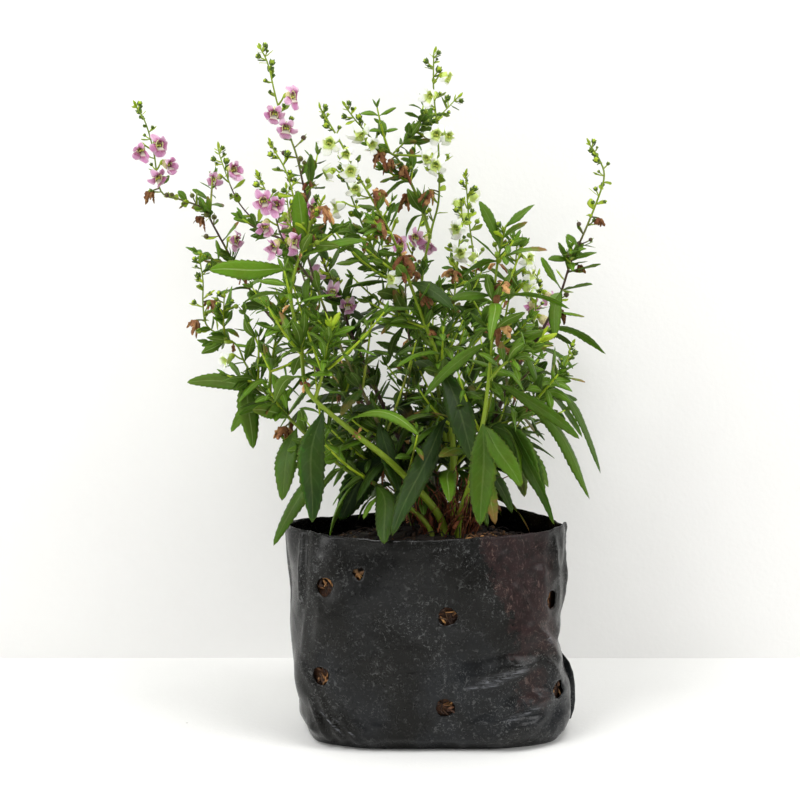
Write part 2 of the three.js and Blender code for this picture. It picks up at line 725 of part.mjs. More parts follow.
function bagSolid() {
  const shell = (inset, lift) => {
    const outlines = BAG_LEVELS.map((level, i) => bagOutline(level, inset, i === 0 ? lift : 0));
    return [...outlines.slice(0, -1), rimmed(outlines.at(-1))];
  };
  const outer = loft(shell(0, 0));
  const room = shell(FILM, FILM);
  room.push(room.at(-1).map((p) => plus(p, UP, 10)));
  const ear = new THREE.ExtrudeGeometry(new THREE.Shape(EAR.map(([x, z]) => new THREE.Vector2(x, z))), {
    depth: EAR_THICK,
    bevelEnabled: false,
  });
  ear.rotateX(Math.PI / 2).translate(0, EAR_DEPTH, 0);
  let bag = outer.add(solidOf(ear)).subtract(loft(room));
  const drill = (x, z, radius, y) => {
    const punch = new THREE.CylinderGeometry(radius, radius, 60, DRAIN_SIDES);
    bag = bag.subtract(solidOf(punch.translate(x, y, z)));
  };
  FRONT_DRAINS.forEach(([x, z]) => drill(x, z, DRAIN_RADIUS, -40));
  BACK_DRAINS.forEach(([x, z]) => drill(x, z, DRAIN_RADIUS, 40));
  drill(TEAR[0], TEAR[1], TEAR[2], -40);
  return bag;
}

// Soil, with a mound round the stems and a plain hole for each of them
function soilSolid(lines) {
  const inset = FILM + GAP;
  const under = BAG_LEVELS.filter(([height], i) => height < SOIL_LEVEL - 5 && i !== 1);
  const rings = under.map((level, i) => bagOutline(level, inset, i === 0 ? inset : 0));
  const brim = bagOutline([SOIL_LEVEL, 73.5, 48.5, 2.1, 0, 0], inset + 0.6);
  rings.push(brim);
  [0.74, 0.46, 0.2].forEach((share, k) => {
    rings.push(
      brim.map((p, i) => {
        const lump = 2.2 * (chance(i, k, 5) - 0.5);
        const x = CROWN[0] + (p.x - CROWN[0]) * share;
        const y = CROWN[1] + (p.y - CROWN[1]) * share;
        return vec(x, y, SOIL_LEVEL + SOIL_MOUND * Math.cos((share * Math.PI) / 2) ** 1.5 + lump);
      }),
    );
  });
  let soil = loft(rings, { end: vec(CROWN[0], CROWN[1], SOIL_LEVEL + SOIL_MOUND) });
  for (const { line, radius } of lines) {
    const inSoil = 1 + line.points.findIndex((p) => p.z > SOIL_LEVEL + SOIL_MOUND + 3);
    const bottom = plus(line.points[0], line.at(0).along, -GAP);
    const points = [bottom, ...line.points.slice(1, inSoil)];
    const wide = radius + HOLE_GAP;
    soil = soil.subtract(loft(tubeRings({ points }, wide, wide, sidesOf(radius))));
  }
  return soil.subtract(loft([stumpRing(STUMP_FOOT - GAP, HOLE_GAP), stumpRing(STUMP_TOP, HOLE_GAP)]));
}

// The small stump of earlier growth in the soil, and one of the dry stalks that lean out from it
const stumpRing = (height, gap = 0) => ring(vec(...STUMP_PLACE, height), UP, STUMP_RADIUS + gap, STUMP_SIDES);
const stumpSolid = () =>
  loft([stumpRing(STUMP_FOOT), stumpRing(STUMP_TOP)], { end: vec(...STUMP_PLACE, STUMP_TOP + STUMP_RADIUS) });

function dryStalkSolid(i, turn, fat = 0) {
  const top = vec(...STUMP_PLACE, STUMP_TOP);
  const azimuth = radians((360 / DRY_STALKS) * i + 18 * chance(i, 1, 9) + turn);
  const lean = 0.35 + 0.5 * chance(i, 2, 9);
  const way = vec(lean * Math.sin(azimuth), lean * Math.cos(azimuth), 1).normalize();
  const end = plus(top, way, 12 + 14 * chance(i, 3, 9));
  return loft([ring(end, way, 0.8 + fat, 3)], { start: plus(top, UP, -1), end: plus(end, way, 2 + fat) });
}

// Growing the plant

const stems = Object.entries(STEMS).map(([name, stem], s) => ({
  name,
  seed: s + 1,
  bloom: stem.bloom,
  axes: stem.axes.map((axis) => ({ ...axis, line: middleLine(axis.path) })),
}));
const lineOf = (name, k) => stems.find((stem) => stem.name === name).axes[k].line;

put("bag", bagSolid());
put("soil", soilSolid(stems.map(({ axes }) => ({ line: axes[0].line, radius: axes[0].thick[0] }))));
for (const { name, axes } of stems) {
  for (const { line, thick } of axes) put(name, stemSolid(line, thick));
}
put("dry_stalks", stumpSolid());
for (let i = 0; i < DRY_STALKS; i++) {
  const own = (owner) => owner === "dry_stalks";
  const found = TURNS.find(([turn]) => isClear(dryStalkSolid(i, turn, FAT), own));
  if (found) put("dry_stalks", dryStalkSolid(i, found[0]));
}

// Blooms may touch blooms of their own stem, and then make one body with them
const bloomOwner = (name) => name + "_bloom";
for (const { name, axes } of stems) {
  for (const { line, blooms } of axes) {
    for (const [fromTip, azimuth] of blooms) {
      for (const [turn] of TURNS) {
        const place = bloomPlace(line, line.length - fromTip, azimuth + turn);
        const bloomClear = isClear(bloomSolid(place, FAT), (owner) => owner === bloomOwner(name));
        if (bloomClear && isClear(cupSolid(place, FAT), (owner) => owner === name)) {
          put(bloomOwner(name), bloomSolid(place));
          put(name, cupSolid(place));
          break;
        }
      }
    }
  }
}

// A leaf is taken where its outer part is clear of everything
const TESTED_FROM = 0.2;
function settle(name, blades) {
  const fits = (blade) =>
    isClear(bladeSolid(blade, FAT, TESTED_FROM), () => false) &&
    isClear(bladeSolid(blade, FAT), (owner) => owner === name);
  const found = blades.find(fits);
  if (found) put(name, bladeSolid(found));
  return found !== undefined;
}

for (const [name, k, height, [x, y, z], wide, roll, arch] of LARGE_LEAVES) {
  const line = lineOf(name, k);
  settle(name, SHIFTS.map((shift) => placedBlade(line, height, vec(x, y + shift, z), wide, roll, arch)));
}

const SHORTENING = 1.8; // above 1, leaves stay long until well up the stem

// Pairs of leaves up the stem, each pair a quarter turn on from the last, shorter and less drooping higher up
for (const { name, seed, axes } of stems) {
  axes.forEach(({ line, leaves: [first, last, step, low, high] }, k) => {
    for (let i = 0; first + i * step <= last; i++) {
      for (const half of [0, 1]) {
        const key = [100 * seed + 10 * k, 2 * i + half];
        const rise = (i * step) / Math.max(last - first, 1);
        const distance = first + i * step + 5 * (chance(...key, 1) - 0.5);
        const azimuth = 40 * k + 90 * i + 180 * half + 40 * (chance(...key, 2) - 0.5);
        const tilt = 62 - 14 * rise + 16 * (chance(...key, 3) - 0.5);
        const long = (low + (high - low) * rise ** SHORTENING) * (0.85 + 0.3 * chance(...key, 4));
        const droop = (1 - rise) * (0.35 + 0.9 * chance(...key, 5));
        const blades = TURNS.map(([round, away]) =>
          growingBlade(line, distance, azimuth + round, tilt + away, long, 2 + 0.19 * long, droop),
        );
        settle(name, blades);
      }
    }
  });
}

// Buds wind up to the tip and shrink towards it, with a tuft of small leaves at the very end
const BUD_STEP = 5;
for (const { name, seed, axes } of stems) {
  axes.forEach(({ line, buds, dry }, k) => {
    const own = (owner) => owner === name;
    const settlePiece = (build) => {
      const found = TURNS.find(([turn]) => isClear(build(turn, FAT), own));
      if (found) put(name, build(found[0], 0));
    };
    for (let i = 0; i < buds; i++) {
      const grown = (i + 1) / (buds + 1);
      settlePiece((turn, fat) => {
        const distance = line.length - 3 - BUD_STEP * i;
        return budSolid(line, distance, 60 * seed + 137.5 * i + turn, 2 + 3.6 * grown, 1 + 0.9 * grown, fat);
      });
    }
    for (const [fromTip, azimuth] of dry) {
      settlePiece((turn, fat) => drySolid(line, line.length - fromTip, azimuth + turn, fat));
    }
    const tuft = buds ? { leaves: 1, long: 5 } : { leaves: 3, long: 10 };
    for (let i = 0; i < tuft.leaves; i++) {
      const turn = (360 / tuft.leaves) * i + 50 * chance(100 * seed + k, i, 7);
      const grown = growingBlade(line, line.length - 1.2, turn, 30, tuft.long, 0.34 * tuft.long, 0);
      const blade = { ...grown, sections: TUFT_SECTIONS };
      if (isClear(bladeSolid(blade, FAT), own)) put(name, bladeSolid(blade));
    }
  });
}

// Bodies and finishes

const finish = (hex, roughness) => new THREE.MeshStandardMaterial({ color: hex, roughness, metalness: 0 });
const FINISHES = {
  film: finish(0x26282b, 0.42),
  soil: finish(0x3a2a1e, 0.95),
  green: finish(0x3f7a2c, 0.55),
  pink: finish(0xc58ad0, 0.6),
  white: finish(0xf1f3e2, 0.6),
  dry: finish(0x6b4028, 0.9),
};

function meshOf(name, made, material) {
  const { vertProperties, triVerts } = made.getMesh();
  const geometry = new THREE.BufferGeometry();
  geometry.setAttribute("position", new THREE.BufferAttribute(new Float32Array(vertProperties), 3));
  geometry.setIndex(new THREE.BufferAttribute(new Uint32Array(triVerts), 1));
  const mesh = new THREE.Mesh(geometry, material);
  mesh.name = name;
  return mesh;
}

// The pieces of one owner joined, as its separate bodies with the largest first
function bodiesOf(owner) {
  const own = placed.filter((piece) => piece.owner === owner);
  const joined = wasm.Manifold.union(own.map((piece) => piece.made));
  return joined.decompose().sort((a, b) => b.volume() - a.volume());
}

const plant = new THREE.Group();
plant.add(meshOf("grow_bag", bodiesOf("bag")[0], FINISHES.film));
plant.add(meshOf("soil", bodiesOf("soil")[0], FINISHES.soil));
plant.add(meshOf("dry_stalks", bodiesOf("dry_stalks")[0], FINISHES.dry));
for (const { name, bloom, axes } of stems) {
  plant.add(meshOf(name + "_stem", bodiesOf(name)[0], FINISHES.green));
  if (axes.every(({ blooms }) => blooms.length === 0)) continue;
  bodiesOf(bloomOwner(name)).forEach((body, i) => {
    plant.add(meshOf(`${name}_bloom_${i + 1}`, body, FINISHES[bloom]));
  });
}

export default plant;
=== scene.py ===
"""A potted angelonia with pink and white flower spikes, in a black film nursery bag.

Laid out as an add-on: one operator for each group of pieces and one for the stage. Run as a script, it
builds them all round the packed solids. Places and sizes in the tables are in millimetres, with +Z up and -Y
to the front.
"""

import math
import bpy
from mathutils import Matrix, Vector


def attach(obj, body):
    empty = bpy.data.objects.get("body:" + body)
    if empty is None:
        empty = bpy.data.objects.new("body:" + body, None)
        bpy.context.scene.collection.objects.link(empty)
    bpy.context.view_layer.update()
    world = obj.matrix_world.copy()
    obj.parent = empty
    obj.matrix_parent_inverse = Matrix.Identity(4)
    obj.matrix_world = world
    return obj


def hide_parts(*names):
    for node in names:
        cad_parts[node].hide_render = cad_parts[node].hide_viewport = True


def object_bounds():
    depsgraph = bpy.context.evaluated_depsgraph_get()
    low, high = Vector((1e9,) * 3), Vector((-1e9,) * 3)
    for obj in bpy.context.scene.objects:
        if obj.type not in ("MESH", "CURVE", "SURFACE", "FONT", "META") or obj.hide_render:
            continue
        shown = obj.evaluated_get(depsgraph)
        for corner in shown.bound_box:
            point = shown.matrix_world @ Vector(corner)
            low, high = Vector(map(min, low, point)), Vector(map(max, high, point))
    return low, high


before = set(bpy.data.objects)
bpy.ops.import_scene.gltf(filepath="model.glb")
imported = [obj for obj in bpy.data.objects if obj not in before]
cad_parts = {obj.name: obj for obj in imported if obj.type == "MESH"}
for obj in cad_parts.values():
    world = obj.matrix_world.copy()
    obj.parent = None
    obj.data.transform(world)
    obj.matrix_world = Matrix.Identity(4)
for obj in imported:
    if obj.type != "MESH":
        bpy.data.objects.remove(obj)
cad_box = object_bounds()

from types import SimpleNamespace

import bpy
import numpy as np
from bpy.props import FloatProperty, FloatVectorProperty, IntProperty, PointerProperty
from mathutils import Vector, noise
from mathutils.kdtree import KDTree

bl_info = {
    "name": "Potted angelonia",
    "version": (1, 0, 0),
    "blender": (4, 5, 0),
    "location": "View3D > Sidebar > Angelonia",
    "description": "Builds a flowering angelonia in a black film nursery bag",
    "category": "Add Mesh",
}

MM = 0.001
BODY = "root"

# The bag and the soil, as in the solids
RIM_HEIGHT = 114
SOIL_LEVEL = 99
SOIL_MOUND = 12
CROWN = (12, 6)
ROOTED = 90
STUMP_PLACE = (-8, 22)
STUMP_TOP = 113
DRY_STALKS = 9

# What the shown bag and soil have of their own
FILM = 0.5  # thickness of the film
HOLE_CHIPS = 16  # how many chips of coir show in each punched hole
BRIM_GAP = 2.2  # how far inside the bag's outline the soil lies at its brim
FILM_GAP = 3.2  # the same below the brim
DEAD_FOOT = 105  # height at which the dead shoots among the stems start
# Soil heaped against the front: x, distance from the film, half length, half width and height
HEAP = (32, 4, 22, 9, 13)

# Outlines of the bag from its foot up: height, half width, half depth, squareness, shift in x and in y
BAG_LEVELS = np.array([
    (0, 65, 38, 3, 4, -2),
    (5, 70, 43.5, 3.1, 4, -2),
    (20, 73, 47.5, 3.1, 3, -1),
    (56, 72.5, 49.5, 2.8, 0.5, 0),
    (92, 73.5, 49, 2.2, 0, 0),
    (RIM_HEIGHT, 75, 48, 1.85, 0, 0),
])
WAVED_FROM = 92  # height from which the rim's waves show

# Punched holes: x and height in the front and in the back, and the small tear
DRAIN_RADIUS = 5.0
FRONT_DRAINS = [(-54, 87), (10, 74), (66, 77), (-56, 39), (10, 26), (69.5, 30)]
BACK_DRAINS = [(-52, 80), (4, 74), (58, 82), (-55, 34), (4, 28), (60, 36)]
TEAR = (-35, 95)
TEAR_RADIUS = 3.2

# The side seam's loose ear: where it leaves the film in x, then heights and how far out it stands there
EAR_ROOT = 69
EAR = [(1, 76), (1.6, 79.8), (7, 81.6), (13, 82.2), (22, 81.8), (30, 80.6), (36, 78.4), (41, 74)]

# Creases of the film: ends as x and height, how far they stand out and their width
FRONT_CREASES = [
    ((22, 42), (42, 45), 1.7, 4.6),
    ((38, 47), (58, 46), 2.0, 4.4),
    ((18, 37), (44, 39), 0.6, 3.4),
    ((20, 16), (46, 17), 1.2, 4.2),
    ((38, 22), (66, 28), 1.6, 4.6),
    ((36, 11), (64, 17), 1.2, 3.4),
    ((50, 35), (66, 25), 1.0, 3.0),
    ((-62, 26), (-52, 5), 1.3, 2.2),
    ((-56, 27), (-44, 5), 1.2, 2.1),
    ((-50, 25), (-36, 5), 1.0, 2.2),
    ((-43, 20), (-28, 6), 0.9, 2.4),
    ((-66, 112), (-67, 76), 1.2, 1.9),
    ((-63, 74), (-66, 50), 0.6, 2.6),
    ((68, 110), (71, 72), 1.0, 2.0),
    ((60, 106), (62, 84), 0.5, 2.6),
    ((58, 66), (72, 44), 1.6, 3.0),
    ((54, 64), (66, 58), 0.7, 2.8),
    ((60, 54), (72, 34), 1.3, 2.6),
    ((52, 96), (66, 92), 0.7, 2.8),
    ((46, 88), (56, 72), 0.7, 2.2),
    ((-20, 8), (18, 6), 0.7, 2.2),
    ((-66, 44), (-58, 30), 0.7, 2.6),
]
BACK_CREASES = [
    ((-62, 106), (-64, 78), 1.1, 2.0),
    ((-40, 46), (-18, 42), 1.0, 2.6),
    ((-30, 18), (6, 24), 0.9, 2.8),
    ((20, 60), (44, 52), 1.0, 2.8),
    ((50, 26), (62, 8), 1.0, 2.0),
    ((40, 24), (50, 8), 0.8, 2.0),
    ((-58, 26), (-46, 8), 0.9, 2.0),
    ((10, 96), (30, 90), 0.8, 2.8),
    ((62, 104), (64, 72), 1.1, 2.2),
    ((-12, 84), (6, 76), 0.6, 2.6),
]

# The plant, as in the solids
STEM_SPAN = 44
STEM_TURN = 12
BLADE_RIDGE = 0.18
BLOOM_RADIUS = 7.6
BLOOM_DEPTH = 4.4
GAP = 0.35
LOBES = [(1, 0.12), (0.9, -0.02), (0.82, -0.16), (0.82, -0.16), (0.9, -0.02)]
TURNS = [
    (0, 0), (16, 0), (-16, 0), (0, 16), (0, -16), (32, 0), (-32, 0), (28, 20), (-28, 20),
    (28, -20), (-28, -20), (52, 0), (-52, 0), (75, 12), (-75, 12), (100, 0), (-100, 0),
]
SHIFTS = [0, -5, 5, -10, 10, -16, 16, -23, 23]
SHORTENING = 1.8
BUD_STEP = 5

# What the shown plant has of its own
BARE_FOOT = np.array([(-24, -200, 60), (34, 12, 150)])  # no further leaves stand in this box before the crown
LOOK_DOWN = 8  # slope of the camera's view in degrees
VIEW_SLOPE = math.tan(math.radians(LOOK_DOWN))
BLOOM_VIEW = 7.5  # no further leaf stands before a bloom within this distance of its line of sight
SCRAP_SHARE = 0.3  # how many of the axils hold a withered scrap
SAME_PLACE = 0.06  # how near a corner of a solid has to be for the piece to stand there
LEAF_GAP = 2.5  # how far a further leaf stays from all that has its place already
AXIL_GAP = 1.6  # the same for the small leaves in the axils
SIDE_SHOOT_GAP = 2.6  # the same for the side shoots
TWIG_LEAF_GAP = 1.3  # the same for the leaves of side shoots


def shoot(path, thick, leaves, buds=0, blooms=(), dry=()):
    """One row of the stems' table: the trunk or a side shoot."""
    return SimpleNamespace(path=path, thick=thick, leaves=leaves, buds=buds, blooms=blooms, dry=dry)


# The stems. Each is one body: a trunk that stands in the soil, then the shoots that branch from it. An entry
# gives the kind of bloom, how purple the stalk and how bright the leaves are, and the flower spike's length.
# path: places on the middle line, from the foot to the tip. thick: radius at the foot and at the tip.
# leaves: distance of the first and of the last pair from the foot, the step, the length low down and high up.
# buds: how many there are below the tip. blooms: (distance from the tip, azimuth). dry: the same, for those
# that are spent.
STEMS = {
    "far_left": ("pink", 0.85, 0.45, 105, [
        shoot([(1, 11, ROOTED), (4, 11, 113), (-18, 26, 142), (-50, 34, 181), (-77, 38, 211), (-97, 42, 236),
               (-116, 42, 270), (-121, 40, 280), (-133, 38, 285), (-144, 34, 290), (-147, 30, 311),
               (-151, 28, 327), (-156, 26, 336)],
              (1.7, 0.6), (52, 236, 30, 34, 13), 2,
              [(26, 312), (26, 36), (37, 62), (42, 352), (100, 55)], [(47, 290), (80, 250), (118, 20)]),
    ]),
    "tall_pink": ("pink", 0.9, 0.42, 110, [
        shoot([(6, 18, ROOTED), (7, 17, 114), (-17, 26, 160), (-41, 22, 215), (-59, 12, 265), (-65, 4, 294),
               (-69, 0, 312), (-77, -6, 334), (-82, -10, 356), (-86, -14, 365)],
              (1.8, 0.6), (45, 215, 28, 36, 10), 4,
              [(32, 55), (37, 330), (46, 10), (92, 70)], [(76, 80), (100, 300)]),
        shoot([(-58, 13, 262), (-71, 31, 262), (-84, 40, 266), (-95, 48, 274), (-105, 53, 286),
               (-113, 57, 306), (-115, 58, 313)],
              (1, 0.5), (14, 50, 23, 15, 9), 3, [(18, 25), (20, 312)]),
        shoot([(-42, 22, 217), (-45, 8, 232), (-50, 0, 244), (-54, -4, 254)],
              (0.9, 0.5), (12, 24, 15, 18, 12), 2, [(7, 322), (16, 0), (27, 50)]),
    ]),
    "cluster_pink": ("pink", 0.7, 0.5, 60, [
        shoot([(-2, -2, ROOTED), (-2, -1, 113), (-24, -8, 165), (-47, -12, 214), (-60, -14, 250),
               (-68, -16, 284), (-73, -17, 302), (-81, -19, 316)],
              (1.8, 0.6), (48, 190, 28, 38, 12), 3, [], [(30, 100), (52, 95), (46, 330)]),
        shoot([(-57, -13, 240), (-67, -18, 255), (-75, -22, 268), (-79, -23, 282), (-83, -24, 292),
               (-87, -25, 300)],
              (0.9, 0.5), (10, 12, 15, 16, 10), 2,
              [(15, 335), (19, 30), (28, 305), (31, 20), (38, 335), (40, 40)]),
    ]),
    "thick_green": ("white", 0.0, 0.95, 26, [
        shoot([(9, -12, ROOTED), (8, -12, 117), (-16, -20, 147), (-37, -28, 166), (-57, -34, 184),
               (-63, -35, 194), (-65, -33, 212), (-70, -30, 236), (-68, -28, 251), (-63, -26, 265),
               (-60, -24, 275), (-54, -22, 287)],
              (2.6, 1), (150, 205, 27, 26, 14), 1, [], [(4, 30)]),
        shoot([(-58, -34, 185), (-54, -38, 198), (-51, -42, 214), (-49, -44, 224)],
              (1.2, 0.7), (16, 36, 13, 19, 14)),
    ]),
    "low_left": ("white", 0.35, 0.72, 60, [
        shoot([(3, -13, ROOTED), (1, -12, 114), (-27, -14, 137), (-42, -12, 144), (-54, -8, 153),
               (-70, 0, 167), (-83, 6, 179), (-97, 14, 197), (-102, 18, 207), (-110, 20, 212),
               (-119, 22, 218), (-121, 24, 230), (-121, 26, 242), (-123, 28, 254)],
              (1.7, 0.6), (66, 196, 27, 34, 12), 3, [(66, 305)], [(34, 270), (110, 260), (24, 100)]),
        shoot([(-84, 7, 180), (-83, 2, 196), (-80, -4, 212), (-77, -8, 226), (-76, -9, 233)],
              (1.1, 0.7), (16, 46, 15, 22, 15)),
        shoot([(-109, 20, 211), (-109, 14, 223), (-108, 11, 237)],
              (0.8, 0.5), (6, 7, 12, 9, 8), 3),
    ]),
    "inner_left": ("white", 0.1, 0.5, 0, [
        shoot([(-7, 8, ROOTED), (-8, 8, 114), (-22, 6, 140), (-36, 3, 165), (-46, 0, 190), (-50, -1, 212)],
              (1.5, 0.8), (56, 118, 23, 34, 20)),
    ]),
    "white_left": ("white", 0.05, 0.72, 90, [
        shoot([(14, 1, ROOTED), (14, 0, 114), (14, -2, 159), (7, -4, 199), (-1, -6, 222), (-8, -8, 241),
               (-15, -10, 261), (-25, -12, 281), (-36, -14, 300), (-45, -16, 317), (-55, -18, 334)],
              (2.3, 0.7), (50, 190, 27, 38, 14), 3,
              [(20, 320), (29, 20), (37, 335), (100, 300)],
              [(88, 30), (110, 60), (52, 60), (64, 320), (94, 320)]),
        shoot([(3, -5, 209), (-9, 4, 223), (-20, 10, 245), (-28, 12, 259), (-37, 13, 280), (-42, 13, 294),
               (-46, 13, 308)],
              (1.4, 0.6), (20, 78, 24, 28, 13), 3, [(9, 280), (20, 20), (27, 280)], [(42, 100)]),
    ]),
    "white_tall": ("white", 0.08, 0.6, 100, [
        shoot([(17, 11, ROOTED), (17, 12, 114), (10, 26, 160), (4, 34, 203), (-2, 36, 239), (3, 34, 268),
               (7, 32, 285), (7, 30, 307), (6, 28, 324), (4, 26, 344), (4, 24, 364)],
              (1.8, 0.6), (50, 182, 27, 36, 13), 3,
              [(16, 45), (26, 5), (46, 350), (47, 48), (58, 318), (62, 5)], [(75, 300)]),
        shoot([(3, 34, 264), (-2, 40, 280), (-7, 42, 292), (-16, 42, 308), (-25, 41, 313), (-31, 40, 320),
               (-38, 38, 328), (-44, 36, 336)],
              (1.2, 0.6), (14, 56, 20, 22, 11), 3,
              [(18, 318), (26, 335)], [(48, 10), (62, 290), (40, 320), (31, 345)]),
        shoot([(-19, 42, 309), (-7, 46, 320), (8, 50, 331), (18, 52, 341)],
              (0.8, 0.5), (8, 26, 12, 12, 9), 2),
    ]),
    "mid_white": ("white", 0.1, 0.5, 60, [
        shoot([(15, 24, ROOTED), (14, 25, 114), (13, 44, 157), (14, 52, 195), (16, 54, 225), (18, 54, 250),
               (20, 50, 274), (20, 48, 284)],
              (1.7, 0.6), (48, 150, 27, 36, 17), 2, [(16, 0), (31, 30), (34, 80)], [(40, 330), (56, 40)]),
    ]),
    "mid_pink": ("pink", 0.75, 0.35, 50, [
        shoot([(8, 29, ROOTED), (8, 30, 114), (3, 56, 149), (-7, 72, 195), (-11, 78, 231), (-5, 78, 261),
               (1, 76, 282)],
              (1.6, 0.6), (48, 155, 27, 36, 15), 3, [(22, 5), (22, 75), (30, 290)], [(40, 60)]),
    ]),
    "right_green": ("white", 0.0, 0.9, 24, [
        shoot([(18, -12, ROOTED), (17, -14, 116), (23, -26, 141), (29, -36, 175), (31, -38, 192),
               (33, -36, 213), (34, -34, 237), (36, -32, 256), (40, -30, 274)],
              (2.2, 0.9), (148, 186, 24, 26, 17), 1, [], [(30, 20), (52, 60)]),
        shoot([(32, -37, 196), (39, -40, 204), (50, -44, 212), (58, -46, 217)],
              (1, 0.6), (12, 28, 9, 16, 13)),
    ]),
    "right_white": ("white", 0.1, 0.62, 50, [
        shoot([(21, -1, ROOTED), (20, 0, 114), (29, -4, 159), (37, -8, 197), (42, -10, 229), (46, -12, 250),
               (47, -14, 268)],
              (1.6, 0.6), (48, 148, 25, 38, 17), 3, [(13, 45), (21, 65), (29, 88)], [(50, 280), (60, 60)]),
        shoot([(30, -5, 162), (46, -10, 172), (62, -14, 186), (72, -16, 200), (76, -16, 212)],
              (1.1, 0.6), (14, 58, 17, 30, 16), 2),
    ]),
    "far_right": ("pink", 0.95, 0.5, 100, [
        shoot([(23, 16, ROOTED), (22, 19, 114), (34, 34, 153), (50, 40, 190), (64, 42, 212), (74, 42, 232),
               (80, 40, 251), (88, 38, 270), (95, 36, 289), (97, 35, 299), (94, 33, 307), (88, 32, 316)],
              (1.8, 0.7), (48, 196, 25, 36, 12), 3, [], [(44, 90), (72, 100), (98, 85)]),
    ]),
    "back_left": ("pink", 0.8, 0.3, 60, [
        shoot([(0, 24, ROOTED), (-1, 26, 114), (-22, 52, 148), (-48, 76, 190), (-66, 90, 228),
               (-76, 96, 262), (-80, 98, 290)],
              (1.7, 0.6), (50, 176, 27, 38, 14), 3, [(15, 150), (19, 215), (27, 180)], [(46, 200)]),
    ]),
    "back_mid": ("white", 0.15, 0.35, 60, [
        shoot([(15, 35, ROOTED), (15, 37, 114), (22, 66, 150), (28, 88, 194), (30, 98, 236), (26, 102, 272),
               (24, 102, 298)],
              (1.7, 0.6), (46, 172, 27, 38, 14), 3, [(15, 150), (20, 215), (28, 180)], [(52, 150)]),
        shoot([(24, 76, 170), (8, 92, 186), (-6, 104, 206), (-14, 110, 226)],
              (1.1, 0.6), (14, 50, 20, 30, 16), 2),
    ]),
    "back_right": ("pink", 0.8, 0.35, 50, [
        shoot([(26, 29, ROOTED), (27, 31, 114), (42, 58, 146), (56, 80, 182), (64, 94, 214), (66, 100, 240)],
              (1.7, 0.6), (48, 130, 27, 38, 18), 3, [(14, 120), (19, 185), (27, 150)], [(40, 90)]),
    ]),
}

# Large leaves, which stand where the photograph shows them: stem, shoot, height of the foot, tip, width, roll
# in degrees, arch, and how bright the leaf is
LARGE_LEAVES = [
    ("thick_green", 0, 251, (-111, -34, 252), 10.5, 0, 0.06, 0.95),
    ("thick_green", 0, 264, (-66, -31, 292), 9.5, 25, 0.02, 0.6),
    ("thick_green", 0, 256, (-31, -24, 266), 8, -50, 0.12, 0.5),
    ("thick_green", 0, 181, (-59, -52, 124), 14.5, 8, 0.1, 0.08),
    ("low_left", 0, 166, (-76, -24, 130), 12, 20, 0.1, 0.32),
    ("low_left", 0, 197, (-93, 4, 153), 12, 172, 0.06, 0.5),
    ("low_left", 0, 183, (-106, 12, 160), 7, 20, 0.1, 0.4),
    ("low_left", 0, 180, (-129, 12, 188), 8.5, 205, 0.08, 0.3),
    ("low_left", 0, 174, (-100, -8, 173), 7, -55, 0.14, 0.35),
    ("low_left", 0, 150, (-80, -34, 108), 9, 40, 0.12, 0.3),
    ("low_left", 0, 137, (-22, -53, 113), 12, 15, 0.12, 0.4),
    ("white_left", 0, 152, (-13, -40, 135), 12, -25, 0.14, 0.35),
    ("thick_green", 0, 172, (-4, -46, 168), 7, -60, 0.2, 0.8),
    ("cluster_pink", 0, 152, (-46, -18, 117), 17, 15, 0.1, 0.1),
    ("cluster_pink", 0, 170, (-14, -30, 133), 12, -30, 0.14, 0.3),
    ("white_left", 0, 172, (-18, -51, 118), 12, -10, 0.12, 0.25),
    ("white_left", 0, 198, (24, -30, 152), 14.5, 12, 0.1, 0.3),
    ("white_left", 0, 243, (14, -20, 230), 10, -20, 0.12, 0.3),
    ("white_left", 0, 228, (-34, -26, 222), 8, 60, 0.12, 0.5),
    ("right_green", 0, 174, (27, -50, 122), 14.5, 4, 0.12, 0.42),
    ("right_green", 0, 172, (48, -50, 142), 11, -20, 0.12, 0.5),
    ("right_green", 0, 195, (78, -44, 166), 9, 50, 0.1, 0.4),
    ("right_green", 0, 215, (-2, -52, 189), 9.5, -35, 0.1, 0.5),
    ("right_green", 0, 238, (12, -38, 237), 6.5, 60, 0.12, 0.4),
    ("right_green", 0, 237, (73, -34, 232), 6.5, 70, 0.12, 0.45),
    ("right_green", 0, 273, (55, -32, 285), 6.5, -30, 0.05, 0.45),
    ("right_green", 0, 262, (26, -36, 287), 7, 30, 0.06, 0.45),
    ("right_green", 0, 256, (16, -40, 248), 7, -45, 0.12, 0.45),
    ("right_white", 0, 168, (60, -24, 133), 12, 15, 0.16, 0.45),
    ("right_white", 1, 170, (66, -34, 120), 8.5, 35, 0.16, 0.35),
    ("right_white", 1, 178, (86, -20, 130), 9, -35, 0.16, 0.5),
    ("right_white", 1, 190, (92, -16, 143), 8, -55, 0.16, 0.3),
    ("far_right", 0, 160, (66, 26, 120), 12, 20, 0.14, 0.35),
    ("far_right", 0, 236, (70, 26, 210), 8, 30, 0.1, 0.5),
    ("far_right", 0, 214, (100, 40, 200), 8, 55, 0.16, 0.5),
    ("mid_white", 0, 226, (38, 38, 207), 10, -20, 0.12, 0.3),
    ("back_left", 0, 160, (-62, 92, 128), 13, 160, 0.14, 0.45),
    ("back_left", 0, 190, (-84, 74, 152), 12, 110, 0.14, 0.45),
    ("back_mid", 0, 152, (34, 104, 122), 13.5, 185, 0.14, 0.45),
    ("back_mid", 0, 176, (6, 118, 140), 12, 200, 0.14, 0.45),
    ("back_right", 0, 150, (72, 78, 118), 13, 130, 0.14, 0.45),
    ("back_right", 0, 182, (92, 86, 146), 11, 80, 0.14, 0.45),
    ("mid_pink", 0, 160, (-26, 92, 130), 12.5, 170, 0.14, 0.45),
]

